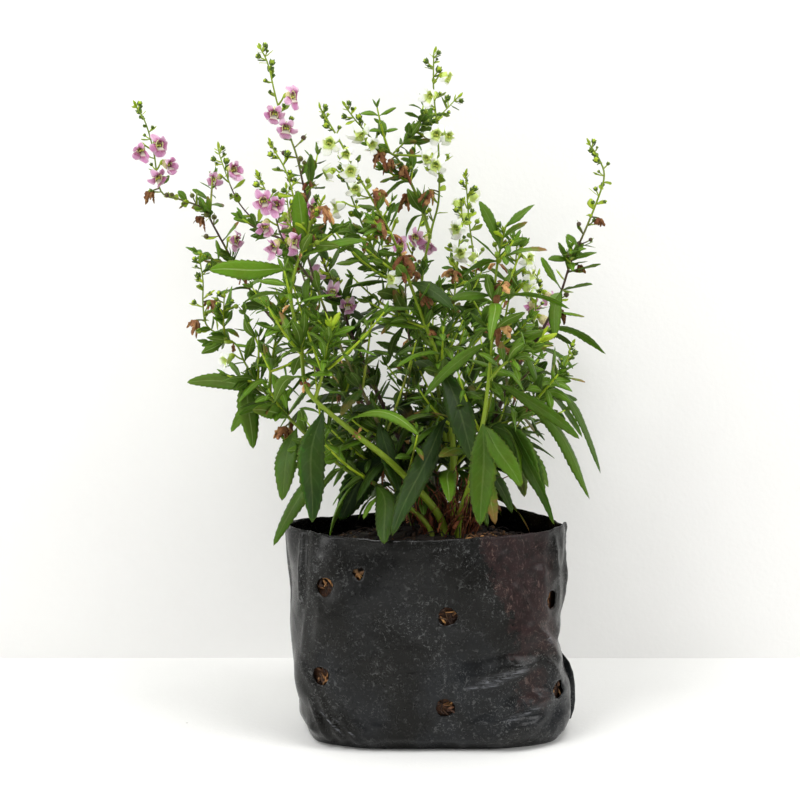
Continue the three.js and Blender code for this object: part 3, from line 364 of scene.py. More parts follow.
# Heights of old joints with dry scraps on the thick green stem
SCARS = {"thick_green": (166, 194)}

UP = np.array([0.0, 0.0, 1.0])
FRONT = np.array([0.0, -1.0, 0.0])


def chance(a, b, c):
    """A repeatable number from 0 to 1 for each set of three whole numbers."""
    wave = math.sin(a * 127.1 + b * 311.7 + c * 74.7) * 43758.5453
    return wave - math.floor(wave)


def between(low, high, *key):
    return low + (high - low) * chance(*key)


def unit(v):
    return v / np.linalg.norm(v)


def units(v):
    return v / np.maximum(np.linalg.norm(v, axis=-1, keepdims=True), 1e-9)


def turned(v, axis, angle):
    """v turned round an axis by an angle in radians."""
    c, s = math.cos(angle), math.sin(angle)
    return v * c + np.cross(axis, v) * s + axis * v.dot(axis) * (1 - c)


def spun(across, face, angle):
    """Two directions, turned by an angle round the line that is square to both."""
    return across * np.cos(angle) + face * np.sin(angle), face * np.cos(angle) - across * np.sin(angle)


def whole_turn(count):
    return 2 * np.pi * np.arange(count) / count


def ring(centre, across, other, wide, high, turn):
    """Points round a centre, wide along one direction and high along another."""
    return centre + across * (wide * np.cos(turn))[..., None] + other * (high * np.sin(turn))[..., None]


def smooth_step(low, high, value):
    t = np.clip((value - low) / (high - low), 0, 1)
    return t * t * (3 - 2 * t)


class Line:
    """A line through points, with the place and direction at any distance along it."""

    def __init__(self, points):
        self.points = np.asarray(points, float)
        steps = np.linalg.norm(np.diff(self.points, axis=0), axis=1)
        self.reached = np.concatenate([[0], np.cumsum(steps)])
        self.length = self.reached[-1]

    def at(self, distance):
        """The place at a distance along the line, and the direction there."""
        i = int(np.searchsorted(self.reached, distance, side="right")) - 1
        i = min(max(i, 0), len(self.points) - 2)
        along = unit(self.points[i + 1] - self.points[i])
        return self.points[i] + along * (distance - self.reached[i]), along

    def at_height(self, height):
        """The distance along the line at which it first reaches a height."""
        i = max(0, int(np.argmax(self.points[:, 2] >= height)) - 1)
        return self.reached[i] + (height - self.points[i, 2]) / self.at(self.reached[i])[1][2]

    def nearest(self, point):
        """The distance along the line at which it passes nearest to a point."""
        a, b = self.points[:-1], self.points[1:]
        step = b - a
        share = np.clip(((point - a) * step).sum(1) / np.maximum((step * step).sum(1), 1e-9), 0, 1)
        gaps = np.linalg.norm(a + step * share[:, None] - point, axis=1)
        i = int(np.argmin(gaps))
        return self.reached[i] + share[i] * (self.reached[i + 1] - self.reached[i])

    def beside(self, point):
        """The point of the line that is nearest to a point."""
        return self.at(self.nearest(point))[0]


def smooth_points(path, per=20):
    """A smooth curve through the places of a path."""
    points = np.array(path, float)
    ends = np.vstack([2 * points[0] - points[1], points, 2 * points[-1] - points[-2]])
    spans = len(points) - 1
    t = np.arange(per * spans + 1) / per
    i = np.minimum(t.astype(int), spans - 1)
    w = (t - i)[:, None]
    p0, p1, p2, p3 = ends[i], ends[i + 1], ends[i + 2], ends[i + 3]
    v0, v1 = (p2 - p0) / 2, (p3 - p1) / 2
    return (2 * p1 - 2 * p2 + v0 + v1) * w**3 + (3 * p2 - 3 * p1 - 2 * v0 - v1) * w**2 + v0 * w + p1


def middle_line(path):
    """The solids' own line: the smooth curve, kept only where it bends and after long straight stretches."""
    smooth = Line(smooth_points(path))
    kept = [0]
    for far in range(1, math.ceil(smooth.length - 4)):
        turn = smooth.at(far)[1].dot(smooth.at(kept[-1])[1])
        if turn < math.cos(math.radians(STEM_TURN)) or far - kept[-1] > STEM_SPAN:
            kept.append(far)
    return Line([smooth.at(far)[0] for far in [*kept, smooth.length]])


def outward(along, azimuth):
    """The direction away from a stem at an azimuth: 0 is to the front and 90 to the right."""
    turn = math.radians(azimuth)
    out = np.array([math.sin(turn), -math.cos(turn), 0])
    return unit(out - along * out.dot(along))


class Shape:
    """Gathers forms, in millimetres, into one mesh. Each point has a place on its own form and its traits,
    three numbers each, which the materials read."""

    def __init__(self):
        self.points, self.quads, self.triangles, self.places, self.traits = [], [], [], [], []
        self.count = 0

    def add(self, points, quads=(), triangles=(), place=(0, 0, 0), trait=(0.5, 0.5, 0.5)):
        points = np.asarray(points, float).reshape(-1, 3)
        self.points.append(points)
        if len(quads):
            self.quads.append(np.asarray(quads) + self.count)
        if len(triangles):
            self.triangles.append(np.asarray(triangles) + self.count)
        self.places.append(np.broadcast_to(np.asarray(place, float), points.shape))
        self.traits.append(np.broadcast_to(np.asarray(trait, float), points.shape))
        self.count += len(points)

    def build(self, name, material):
        quads = np.concatenate([np.zeros((0, 4), int), *self.quads])
        triangles = np.concatenate([np.zeros((0, 3), int), *self.triangles])
        corners = np.concatenate([quads.ravel(), triangles.ravel()])
        starts = np.concatenate([np.arange(len(quads)) * 4, len(quads) * 4 + np.arange(len(triangles)) * 3])
        mesh = bpy.data.meshes.new(name)
        mesh.vertices.add(self.count)
        mesh.vertices.foreach_set("co", (np.concatenate(self.points) * MM).ravel())
        mesh.loops.add(len(corners))
        mesh.loops.foreach_set("vertex_index", corners.astype(np.int32))
        mesh.polygons.add(len(starts))
        mesh.polygons.foreach_set("loop_start", starts.astype(np.int32))
        mesh.update(calc_edges=True)
        for label, values in (("place", self.places), ("trait", self.traits)):
            kept = mesh.attributes.new(label, "FLOAT_VECTOR", "POINT")
            kept.data.foreach_set("vector", np.concatenate(values).ravel())
        mesh.shade_smooth()
        mesh.materials.append(material)
        made = bpy.data.objects.new(name, mesh)
        bpy.context.scene.collection.objects.link(made)
        return made


def install(made, slot, *nodes):
    """Fixes a piece to the part, in the place of its solids."""
    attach(made, BODY)
    if nodes:
        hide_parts(*nodes)


def grid_faces(rows, count, closed=True):
    """The faces of a sheet of rows of points. Each row is closed into a ring or open."""
    base = np.arange(count if closed else count - 1)
    after = (base + 1) % count
    first = np.arange(rows - 1)[:, None] * count
    corners = [first + base, first + after, first + count + after, first + count + base]
    return np.stack(corners, -1).reshape(-1, 4)


def spots(across, shares, side, start, end):
    """Places on a lofted form: across it, along it and on which side, and then those of its two ends."""
    rows, count = len(shares), len(across)
    sides = np.tile(np.broadcast_to(side, count), rows)
    return np.vstack([np.stack([np.tile(across, rows), np.repeat(shares, count), sides], 1), start, end])


def loft(shape, rings, start=None, end=None, place=None, trait=(0.5, 0.5, 0.5)):
    """Adds a closed form through rings of equally many points, each end drawn to a point."""
    rings = np.asarray(rings, float)
    count, sides = rings.shape[:2]
    start = rings[0].mean(0) if start is None else start
    end = rings[-1].mean(0) if end is None else end
    points = np.vstack([rings.reshape(-1, 3), start, end])
    quads = grid_faces(count, sides)
    base = np.arange(sides)
    after = (base + 1) % sides
    last = (count - 1) * sides
    low, high = np.full(sides, count * sides), np.full(sides, count * sides + 1)
    triangles = np.vstack([np.stack([after, base, low], 1), np.stack([last + base, last + after, high], 1)])
    a, b, c = (points[triangles[:, i]] for i in range(3))
    p, q, r, s = (points[quads[:, i]] for i in range(4))
    volume = (a * np.cross(b, c)).sum() + (p * np.cross(q, r)).sum() + (p * np.cross(r, s)).sum()
    if volume < 0:
        quads, triangles = quads[:, ::-1], triangles[:, ::-1]
    if place is None:
        place = spots(base / sides, np.linspace(0, 1, count), 0, (0.5, 0, 0), (0.5, 1, 0))
    shape.add(points, quads, triangles, place, trait)


def frames(points):
    """Directions along and across a line at each of its points."""
    along = units(np.gradient(points, axis=0))
    upright = np.abs(along[:, 1:2]) < 0.9
    across = units(np.cross(along, np.where(upright, FRONT, UP)))
    return along, across, np.cross(along, across)


def tube(shape, points, radii, sides=6, trait=(0.5, 0.5, 0.5), ribs=0):
    """Adds a round stalk along points, with a radius at each of them and slight ribs."""
    points = np.asarray(points, float)
    radii = np.broadcast_to(np.asarray(radii, float), (len(points),))
    _, across, other = frames(points)
    turn = whole_turn(sides)
    reach = radii[:, None] * (1 + ribs * np.cos(4 * turn))
    loft(shape, ring(points[:, None], across[:, None], other[:, None], reach, reach, turn), trait=trait)


def bent(foot, bend, tip, shares):
    """Points of the curve from foot to tip that leaves towards bend."""
    s = np.asarray(shares)[:, None]
    return foot * (1 - s) ** 2 + bend * 2 * s * (1 - s) + tip * s * s


def turned_form(shape, foot, way, profile, sides=10, trait=(0.5, 0.5, 0.5), ribs=0, points_ahead=0):
    """Adds a form round an axis. profile holds the distance along it and the radius there."""
    across = unit(np.cross(way, FRONT if abs(way[1]) < 0.9 else UP))
    other = np.cross(way, across)
    turn = whole_turn(sides)
    wave = np.cos(5 * turn)
    rings = []
    for k, (ahead, radius) in enumerate(profile):
        swell = radius * (1 + ribs * wave * (k > 0))
        shift = ahead + points_ahead * np.clip(wave, 0, 1) * (k / (len(profile) - 1))
        rings.append(ring(foot + way * shift[:, None], across, other, swell, swell, turn))
    loft(shape, rings, trait=trait)


def eased(height, column):
    """A column of the bag's outlines at any height, on a smooth curve through them."""
    levels, values = BAG_LEVELS[:, 0], BAG_LEVELS[:, column]
    slopes = np.gradient(values, levels)
    i = np.clip(np.searchsorted(levels, height, side="right") - 1, 0, len(levels) - 2)
    span = levels[i + 1] - levels[i]
    t = (height - levels[i]) / span
    return (
        values[i] * (2 * t**3 - 3 * t**2 + 1)
        + values[i + 1] * (3 * t**2 - 2 * t**3)
        + slopes[i] * span * (t**3 - 2 * t**2 + t)
        + slopes[i + 1] * span * (t**3 - t**2)
    )


def bag_outline(height, count):
    """The bag's outline at a height, as evenly spaced points from the right round by the back."""
    half_wide, half_deep, square, x, y = (eased(np.float64(height), k) for k in range(1, 6))
    turn = np.linspace(0, 2 * np.pi, 1441)
    c, s = np.cos(turn), np.sin(turn)
    slack = 1 + 0.012 * np.sin(5 * turn + height / 11) + 0.008 * np.sin(9 * turn - height / 7)
    flat = np.stack([
        x + np.sign(c) * np.abs(c) ** (2 / square) * half_wide * slack,
        y + np.sign(s) * np.abs(s) ** (2 / square) * half_deep * slack,
    ], 1)
    reached = np.concatenate([[0], np.cumsum(np.linalg.norm(np.diff(flat, axis=0), axis=1))])
    wanted = np.arange(count) / count * reached[-1]
    points = np.stack([np.interp(wanted, reached, flat[:, 0]), np.interp(wanted, reached, flat[:, 1])], 1)
    return np.column_stack([points, np.full(count, float(height))])


def crease(points, start, end, high, wide, front):
    """How far a crease of one wall stands out at each point, with the hollow along its crest."""
    a, b = np.array(start), np.array(end)
    flat = points[:, [0, 2]] - a
    share = np.clip(flat @ (b - a) / ((b - a) @ (b - a)), 0, 1)
    off = flat - share[:, None] * (b - a)
    gap = np.linalg.norm(off, axis=1) / wide
    side = np.sign(off @ np.array([a[1] - b[1], b[0] - a[0]]))
    faded = np.sin(np.pi * np.clip(0.12 + 0.76 * share, 0, 1))
    on_wall = smooth_step(0, 12, -points[:, 1] if front else points[:, 1])
    crest = np.exp(-1.6 * gap) - 0.5 * (side > 0) * np.exp(-((gap - 1.5) ** 2) * 1.6)
    return high * crest * faded * on_wall


def noise_at(points, scale, kind, *settings):
    """One of the noise functions at many points, with features about scale millimetres wide."""
    return np.array([kind(Vector(p / scale), *settings) for p in points])


def bag_wrinkles(points, depth):
    """How far the film stands out or in at each point."""
    x, y, z = points.T
    soft = noise_at(points, 34, noise.noise) * 1.2
    stretched = points * np.array([1, 1, 1.7])
    ridged = noise_at(stretched, 24, noise.ridged_multi_fractal, 0.9, 2.1, 3, 0.9, 2.0)
    fine = noise_at(points, 7, noise.noise)
    busy = 0.32 + 0.75 * smooth_step(34, 2, z) + 0.75 * smooth_step(34, 66, x)
    busy = busy + 0.35 * smooth_step(96, 112, z)
    out = soft + busy * (0.75 * (np.clip(ridged, 0, 3) - 1.0) + 0.22 * fine)
    for creases, front in ((FRONT_CREASES, True), (BACK_CREASES, False)):
        for row in creases:
            out += 1.5 * crease(points, *row, front)
    seam = np.exp(-((y / 1.6) ** 2)) * np.where(x > 0, 1.9, 1.4) * smooth_step(40, 84, z)
    return (out * depth + seam) * smooth_step(-1, 5, z)


def pulled_corners(points):
    """How far the film's lower corners are pulled out to the sides, where the flat bag's seam ends."""
    x, _, z = points.T
    right = np.interp(z, (0, 4, 20, 34, 48, 60, 72, 95), (4.5, 2.6, 0.8, -0.2, 0.6, 0.8, 0.6, 0))
    left = np.interp(z, (0, 4, 20, 40, 70, 110), (3.2, 0.6, -0.9, 0.5, 0.3, 0))
    return right * smooth_step(22, 68, x) - left * smooth_step(-26, -64, x)


def bag_form(shape, depth):
    """The film: floor, wall and rim as one sheet with the holes punched through it."""
    count, rows = 304, 80
    heights = np.concatenate([[0], RIM_HEIGHT * np.linspace(0.008, 1, rows)])
    foot = bag_outline(0, count)
    middle = foot.mean(0)
    shares = (0.03, 0.3, 0.55, 0.76, 0.9)
    floor = [middle + (foot - middle) * share + UP * 0.15 * (1 - share) for share in shares]
    grid = np.array(floor + [bag_outline(h, count) for h in heights])
    grid[..., 0] += pulled_corners(grid.reshape(-1, 3)).reshape(grid.shape[:2])
    wall = grid[len(floor):]
    around = np.roll(wall, -1, 1) - np.roll(wall, 1, 1)
    upward = np.gradient(wall, axis=0)
    out = units(np.cross(around, upward))
    flat = wall.reshape(-1, 3)
    wall += out * bag_wrinkles(flat, depth).reshape(wall.shape[:2])[..., None]
    at_back = wall[..., 1] > 0
    wave = 1.2 * np.sin(wall[..., 0] / 22) * np.where(at_back, 2.2, 0.4) - np.where(at_back, 1.5, 0)
    rim = wall[-1] * (1, 1, 0)
    ragged = 0.5 * noise_at(rim, 5, noise.noise) + 0.9 * noise_at(rim, 19, noise.noise)
    wall[..., 2] += smooth_step(WAVED_FROM, RIM_HEIGHT, wall[..., 2]) * (wave + ragged[None, :])
    points = grid.reshape(-1, 3)
    lid = np.arange(count // 2 - 1)
    closing = np.stack([lid + 1, lid, count - 1 - lid, count - 2 - lid], -1)
    quads = np.vstack([grid_faces(len(grid), count), closing])
    for holes, front in ((FRONT_DRAINS + [TEAR], True), (BACK_DRAINS, False)):
        for k, (x, z) in enumerate(holes):
            radius = TEAR_RADIUS if (x, z) == TEAR else DRAIN_RADIUS
            quads = punch(points, quads, x, z, radius, front, k)
    sheet_of(shape, points, quads, grid.shape)
    ear_form(shape)


def punch(points, quads, x, z, radius, front, seed):
    """Takes out the faces within a hole's radius and draws its edge onto a slightly ragged circle."""
    wall = points[:, 1] < 0 if front else points[:, 1] > 0
    gaps = np.hypot(points[:, 0] - x, points[:, 2] - z) + np.where(wall, 0, 1e3)
    centre = points[np.argmin(gaps)]
    middles = points[quads].mean(1)
    inside = np.linalg.norm(middles - centre, axis=1) < radius
    gone, left = np.unique(quads[inside]), quads[~inside]
    edge = np.intersect1d(gone, np.unique(left))
    way = points[edge] - centre
    turn = np.arctan2(way[:, 2], way[:, 0])
    torn = 0.2 if (x, z) == TEAR else 0.05
    wanted = radius * (1 + torn * np.sin(3 * turn + 2 * seed) + 0.5 * torn * np.sin(7 * turn + seed))
    points[edge] = centre + units(way) * wanted[:, None]
    return left


def sheet_of(shape, points, quads, size):
    """Adds a sheet with the film's thickness inwards, closed along its open edges."""
    a, b, c, d = (points[quads[:, i]] for i in range(4))
    normal = np.cross(c - a, d - b)
    out = np.zeros_like(points)
    for i in range(4):
        np.add.at(out, quads[:, i], normal)
    inner = points - units(out) * FILM
    count = len(points)
    edges = np.concatenate([quads[:, [i, (i + 1) % 4]] for i in range(4)])
    key = np.sort(edges, 1) @ np.array([count, 1])
    _, back, seen = np.unique(key, return_inverse=True, return_counts=True)
    a, b = edges[seen[back] == 1].T
    rim = np.stack([b, a, a + count, b + count], 1)
    quads = np.concatenate([quads, quads[:, ::-1] + count, rim])
    used = np.unique(quads)
    renumbered = np.zeros(2 * count, int)
    renumbered[used] = np.arange(len(used))
    rows, sides = size[:2]
    share = np.stack([np.tile(np.arange(sides) / sides, rows), np.repeat(np.arange(rows) / rows, sides)], 1)
    place = np.vstack([np.column_stack([share, np.full(count, side)]) for side in (1.0, 0.0)])
    shape.add(np.vstack([points, inner])[used], renumbered[quads], place=place[used])


def ear_form(shape):
    """The loose flap of the side seam, low on the right."""
    heights = np.linspace(EAR[0][0], EAR[-1][0], 34)
    reach = np.interp(heights, *np.array(EAR, float).T)
    shares = np.linspace(0, 1, 9)
    grid = np.zeros((len(shares), len(heights), 3))
    for i, share in enumerate(shares):
        x = EAR_ROOT + (reach - EAR_ROOT) * share
        y = 4.2 + 1.3 * np.sin(heights / 7.5) * share + 2.2 * share**2 * np.cos(heights / 13)
        grid[i] = np.column_stack([x, y, heights + 0.4 * np.sin(heights / 3) * share])
    sheet_of(shape, grid.reshape(-1, 3), grid_faces(len(shares), len(heights), False), grid.shape)


def front_wall(x):
    """The place in y at which the soil meets the film at the front of the mouth."""
    _, half_wide, half_deep, square, _, _ = BAG_LEVELS[-1]
    return 4.5 - half_deep * (1 - (abs(x) / half_wide) ** square) ** 0.54


def soil_top(share, x, y):
    """Height of the soil at a share of the way from the stems to the bag's wall, with the heap."""
    behind = y - front_wall(np.clip(x, -70, 70)) - HEAP[1]
    heap = HEAP[4] * np.exp(-(((x - HEAP[0]) / HEAP[2]) ** 2) - (behind / HEAP[3]) ** 2)
    return SOIL_LEVEL + SOIL_MOUND * np.cos(np.minimum(share, 1) * np.pi / 2) ** 1.5 + heap


def soil_form(shape, lumps):
    """The root ball: a lumpy mound on top, and sides that lie close behind the film."""
    count = 200
    brim = bag_outline(SOIL_LEVEL, count)
    inward = units((CROWN[0], CROWN[1], SOIL_LEVEL) - brim)
    brim += inward * BRIM_GAP
    centre = np.array([*CROWN, 0.0])
    rings = []
    for height in (1.5, 6, 16, 28, 40, 52, 64, 76, 86, 94):
        outline = bag_outline(height, count)
        outline[:, 0] += np.where(outline[:, 0] > 0, np.minimum(pulled_corners(outline), 0), 0)
        step = np.roll(outline, -1, 0) - np.roll(outline, 1, 0)
        rings.append(outline + units(np.cross(UP, step)) * FILM_GAP)
    below = len(rings)
    for share in np.linspace(1, 0.02, 40):
        row = centre + (brim - centre) * (share, share, 1)
        row[:, 2] = soil_top(share, row[:, 0], row[:, 1])
        rings.append(row)
    rings = np.array(rings)
    top = rings[below:].reshape(-1, 3)
    rough = sum(high * noise_at(top, wide, noise.noise) for high, wide in ((1.5, 9), (0.9, 3.4), (0.45, 1.6)))
    top[:, 2] += lumps * rough
    rings[below:] = top.reshape(rings[below:].shape)
    loft(shape, rings)


def chip(shape, centre, axis, long, thick, key, pale=0):
    """A crumb, chip or shred of coir: a short lumpy form."""
    across = unit(np.cross(axis, (0.3, 0.5, 0.8)))
    other = np.cross(axis, across)
    rings = []
    for k, (ahead, swell) in enumerate(((-0.42, 0.7), (-0.1, 1.1), (0.22, 0.9), (0.45, 0.5))):
        uneven = np.array([0.7 + 0.6 * chance(*key, 7 * k + i) for i in range(6)]) * swell * thick
        rings.append(ring(centre + axis * ahead * long, across, other, uneven, uneven, whole_turn(6)))
    tone = (chance(*key, 50), max(pale, chance(*key, 51)), chance(*key, 52))
    loft(shape, rings, start=centre - axis * long * 0.55, end=centre + axis * long * 0.55, trait=tone)


def random_way(*key):
    height = 2 * chance(*key, 1) - 1
    turn = 2 * math.pi * chance(*key, 2)
    wide = math.sqrt(1 - height * height)
    return np.array([wide * math.cos(turn), wide * math.sin(turn), height])


def soil_place(i, key, reach=0.95):
    """A place on top of the soil."""
    brim = bag_outline(SOIL_LEVEL, 48)[int(48 * chance(i, key, 1))]
    share = reach * math.sqrt(chance(i, key, 2))
    x, y = (c + (b - c) * share * 0.95 for c, b in zip(CROWN, brim[:2]))
    return np.array([x, y, soil_top(share, x, y)])


def crumbs_form(shape, crumbs):
    """Chips and shreds of coir on the soil and in the punched holes."""
    for i in range(crumbs):
        at = soil_place(i, 11)
        way = unit(random_way(i, 12) * (1, 1, 0.35))
        size = between(0.8, 2.6, i, 13, 1)
        chip(shape, at + UP * size * 0.3, way, size * between(1.2, 2.8, i, 13, 2), size * 0.45, (i, 14))
    for i in range(crumbs // 5):
        x = HEAP[0] + 1.25 * HEAP[2] * between(-1, 1, i, 17, 1)
        y = front_wall(x) + between(2, 9, i, 17, 2)
        size = between(0.9, 2.0, i, 18, 1)
        at = np.array([x, y, soil_top(0.8, x, y) + between(0.2, 1.5, i, 18, 2)])
        way = unit(random_way(i, 18) * (1, 1, 0.4))
        golden = between(0.4, 0.9, i, 18, 4)
        chip(shape, at, way, size * between(1.2, 3, i, 18, 3), size * 0.4, (i, 19), golden)
    for i in range(crumbs // 3):
        at = soil_place(i, 21)
        way = unit(random_way(i, 22) * (1, 1, 0.3))
        side = unit(np.cross(way, UP))
        long = between(6, 17, i, 23, 1)
        arch = between(0.8, 3.4, i, 23, 2)
        shares = np.linspace(0, 1, 7)
        line = at + way * (shares - 0.5)[:, None] * long + UP * (0.4 + arch * np.sin(np.pi * shares))[:, None]
        line = line + side * (long * between(-0.2, 0.2, i, 23, 3) * np.sin(2.4 * np.pi * shares))[:, None]
        trait = (chance(i, 24, 1), 0.2 + 0.6 * chance(i, 24, 2), 0.5)
        tube(shape, line, between(0.14, 0.34, i, 23, 4), 4, trait)
    holes = [(*drain, -1, DRAIN_RADIUS) for drain in FRONT_DRAINS]
    holes += [(*drain, 1, DRAIN_RADIUS) for drain in BACK_DRAINS]
    for h, hole in enumerate([*holes, (*TEAR, -1, TEAR_RADIUS)]):
        fill_hole(shape, h, *hole)


def fill_hole(shape, h, x, z, side, radius):
    """Chips of coir that show in a punched hole. In the tear they are smaller and golden."""
    outline = bag_outline(z, 720)
    wall = outline[np.sign(outline[:, 1]) == side]
    nearest = np.argsort(np.abs(wall[:, 0] - x))[:6]
    centre, nearby = wall[np.argmin(np.abs(wall[:, 0] - x))], wall[nearest]
    tangent = unit(nearby[np.argmax(nearby[:, 0])] - nearby[np.argmin(nearby[:, 0])])
    out = np.cross(tangent, UP)
    out = unit(out) * (1 if out.dot((x, side * 60, 0)) > 0 else -1)
    torn = radius < DRAIN_RADIUS
    for i in range(HOLE_CHIPS):
        turn, far = 2 * math.pi * chance(h, i, 31), radius * math.sqrt(chance(h, i, 32)) * 0.95
        at = centre + tangent * far * math.cos(turn) + UP * far * math.sin(turn)
        at = at - out * between(1.1, 1.7 if torn else 3.2, h, i, 33)
        spin = 2 * math.pi * chance(h, i, 34)
        way = unit(tangent * math.cos(spin) + UP * math.sin(spin) + out * between(-0.2, 0.2, h, i, 35))
        size = between(2.2, 6.0, h, i, 36) * (0.7 if torn else 1)
        chip(shape, at, way, size, between(0.25, 0.7, h, i, 37), (h, i + 40), 1.0 if torn else 0)


def dry_tuft_form(shape, extra):
    """The stump of earlier growth, its dry stalks, and the dead shoots that stand among the stems."""
    top = np.array([*STUMP_PLACE, STUMP_TOP], float)
    profile = [(0, 3.4), (6, 3.3), (12, 2.9), (15, 3.1), (17.4, 2.2), (18.6, 0.9)]
    turned_form(shape, top - UP * 16, UP, profile, 12, (0.5, 0.3, 0.2), 0.09)
    for i in range(DRY_STALKS):
        azimuth = math.radians(360 / DRY_STALKS * i + 18 * chance(i, 1, 9))
        lean = 0.35 + 0.5 * chance(i, 2, 9)
        way = unit(np.array([lean * math.sin(azimuth), lean * math.cos(azimuth), 1]))
        long = 14 + 14 * chance(i, 3, 9)
        dead_shoot(shape, top - UP * 2, way, long, 0.75, (i, 61))
    for i in range(extra):
        turn = 2 * math.pi * chance(i, 71, 1)
        far = between(1, 16, i, 71, 2)
        x, y = CROWN[0] + far * math.cos(turn), CROWN[1] - 9 + 0.7 * far * math.sin(turn)
        foot = np.array([x, y, DEAD_FOOT])
        lean = between(0.05, 0.6, i, 71, 3)
        way = unit(np.array([lean * math.cos(turn + 0.5), lean * math.sin(turn + 0.5), 1]))
        dead_shoot(shape, foot, way, between(14, 44, i, 71, 4), between(0.3, 0.68, i, 71, 5), (i, 72))


def dead_shoot(shape, foot, way, long, thick, key):
    """A thin dry stalk that bends. A long one has a shrivelled scrap of leaf on it."""
    shares = np.linspace(0, 1, 9)
    side = unit(np.cross(way, random_way(*key)))
    sag = long * between(0.05, 0.5, *key, 3)
    kinks = [0.07 * long * np.sin(waves * shares + 6 * chance(*key, 7)) * shares for waves in (9, 7)]
    line = foot + way * (shares * long)[:, None] + side * (sag * shares**2 + kinks[0])[:, None]
    line = line + np.cross(way, side) * kinks[1][:, None]
    tone = (between(0, 0.6, *key, 4), between(0.4, 1, *key, 5), chance(*key, 6))
    tube(shape, line, thick * (1.15 - 0.7 * shares), 5, tone)
    if long > 30:
        out = unit(random_way(*key) * (1, 1, 0.5) - UP * 0.5)
        size, squeeze = between(4, 8, *key, 20), between(0.6, 1.1, *key, 30)
        crumple(shape, line[3], out, size, squeeze, (key[0], key[1] + 5))


def crumple(shape, foot, way, long, radius, key, droop=0.5, pale=1.0):
    """A shrivelled leaf or petal: a thin, folded and twisted blade that hangs from its foot."""
    shares = np.linspace(0, 1, 9)
    tip = foot + way * long * 0.75 - UP * long * droop
    line = bent(foot, foot + way * long * 0.5, tip, shares)
    _, across, other = frames(line)
    swell = np.interp(shares, [0, 0.12, 0.35, 0.6, 0.85, 1], [0.2, 0.4, 1, 0.9, 1.1, 0.4]) * radius
    turn = whole_turn(12)
    twist = between(-2.6, 2.6, *key, 1)
    squeeze = between(0.16, 0.5, *key, 41)
    rings = []
    for k, share in enumerate(shares):
        fold = 1 + 0.5 * np.cos(3 * turn + 5 * chance(*key, 2) + 1.3 * k) * chance(*key, k + 3)
        fold += 0.3 * np.cos(5 * turn - 1.9 * k + 6 * chance(*key, 40))
        kink = swell[k] * between(-0.7, 0.7, *key, 50 + k)
        a = swell[k] * fold * np.cos(turn)
        b = squeeze * swell[k] * fold * np.sin(turn) + kink * np.cos(turn) ** 2
        flat, thick = spun(across[k], other[k], twist * share)
        rings.append(line[k] + flat * a[:, None] + thick * b[:, None])
    loft(shape, rings, trait=(pale * chance(*key, 42), chance(*key, 43), chance(*key, 44)))


# Sections of a large and of a small leaf, once round: place across it, depth under the midrib, and side
LARGE_SECTION = np.array([
    (1, 0, 0.5), (0.5, 0.9, 0), (0, 1.9, 0), (-0.5, 0.9, 0), (-1, 0, 0.5),
    (-0.66, 0, 1), (-0.28, 0, 1), (0, 0, 1), (0.28, 0, 1), (0.66, 0, 1),
])
SMALL_SECTION = np.array([
    (1, 0, 0.5), (0.45, 0.9, 0), (0, 1.5, 0), (-0.45, 0.9, 0), (-1, 0, 0.5),
    (-0.45, 0, 1), (0, 0, 1), (0.45, 0, 1),
])
LONG_LEAF = 30  # from this length on a leaf is widest far out and stays flatter
TOOTHED = 15  # from this length on a leaf has teeth
# Shares of a leaf's length at which it is tested whether there is room for it
LEAF_CHECKS = np.linspace(0.35, 1, 5)
SMALL_CHECKS = (0.5, 0.75, 1)
# Turns in degrees that are tried until there is room
LEAF_TURNS = (0, 25, -25, 50, -50)
SIDE_SHOOT_TURNS = (0, 35, -35, 70, -70)


def leaf_width(share, outward_by):
    """Half width of a leaf along its length, as a share of the greatest."""
    return np.sin(np.pi * np.clip(share, 0, 1) ** outward_by) ** (1.05 - 0.42 * np.clip(share, 0, 1))


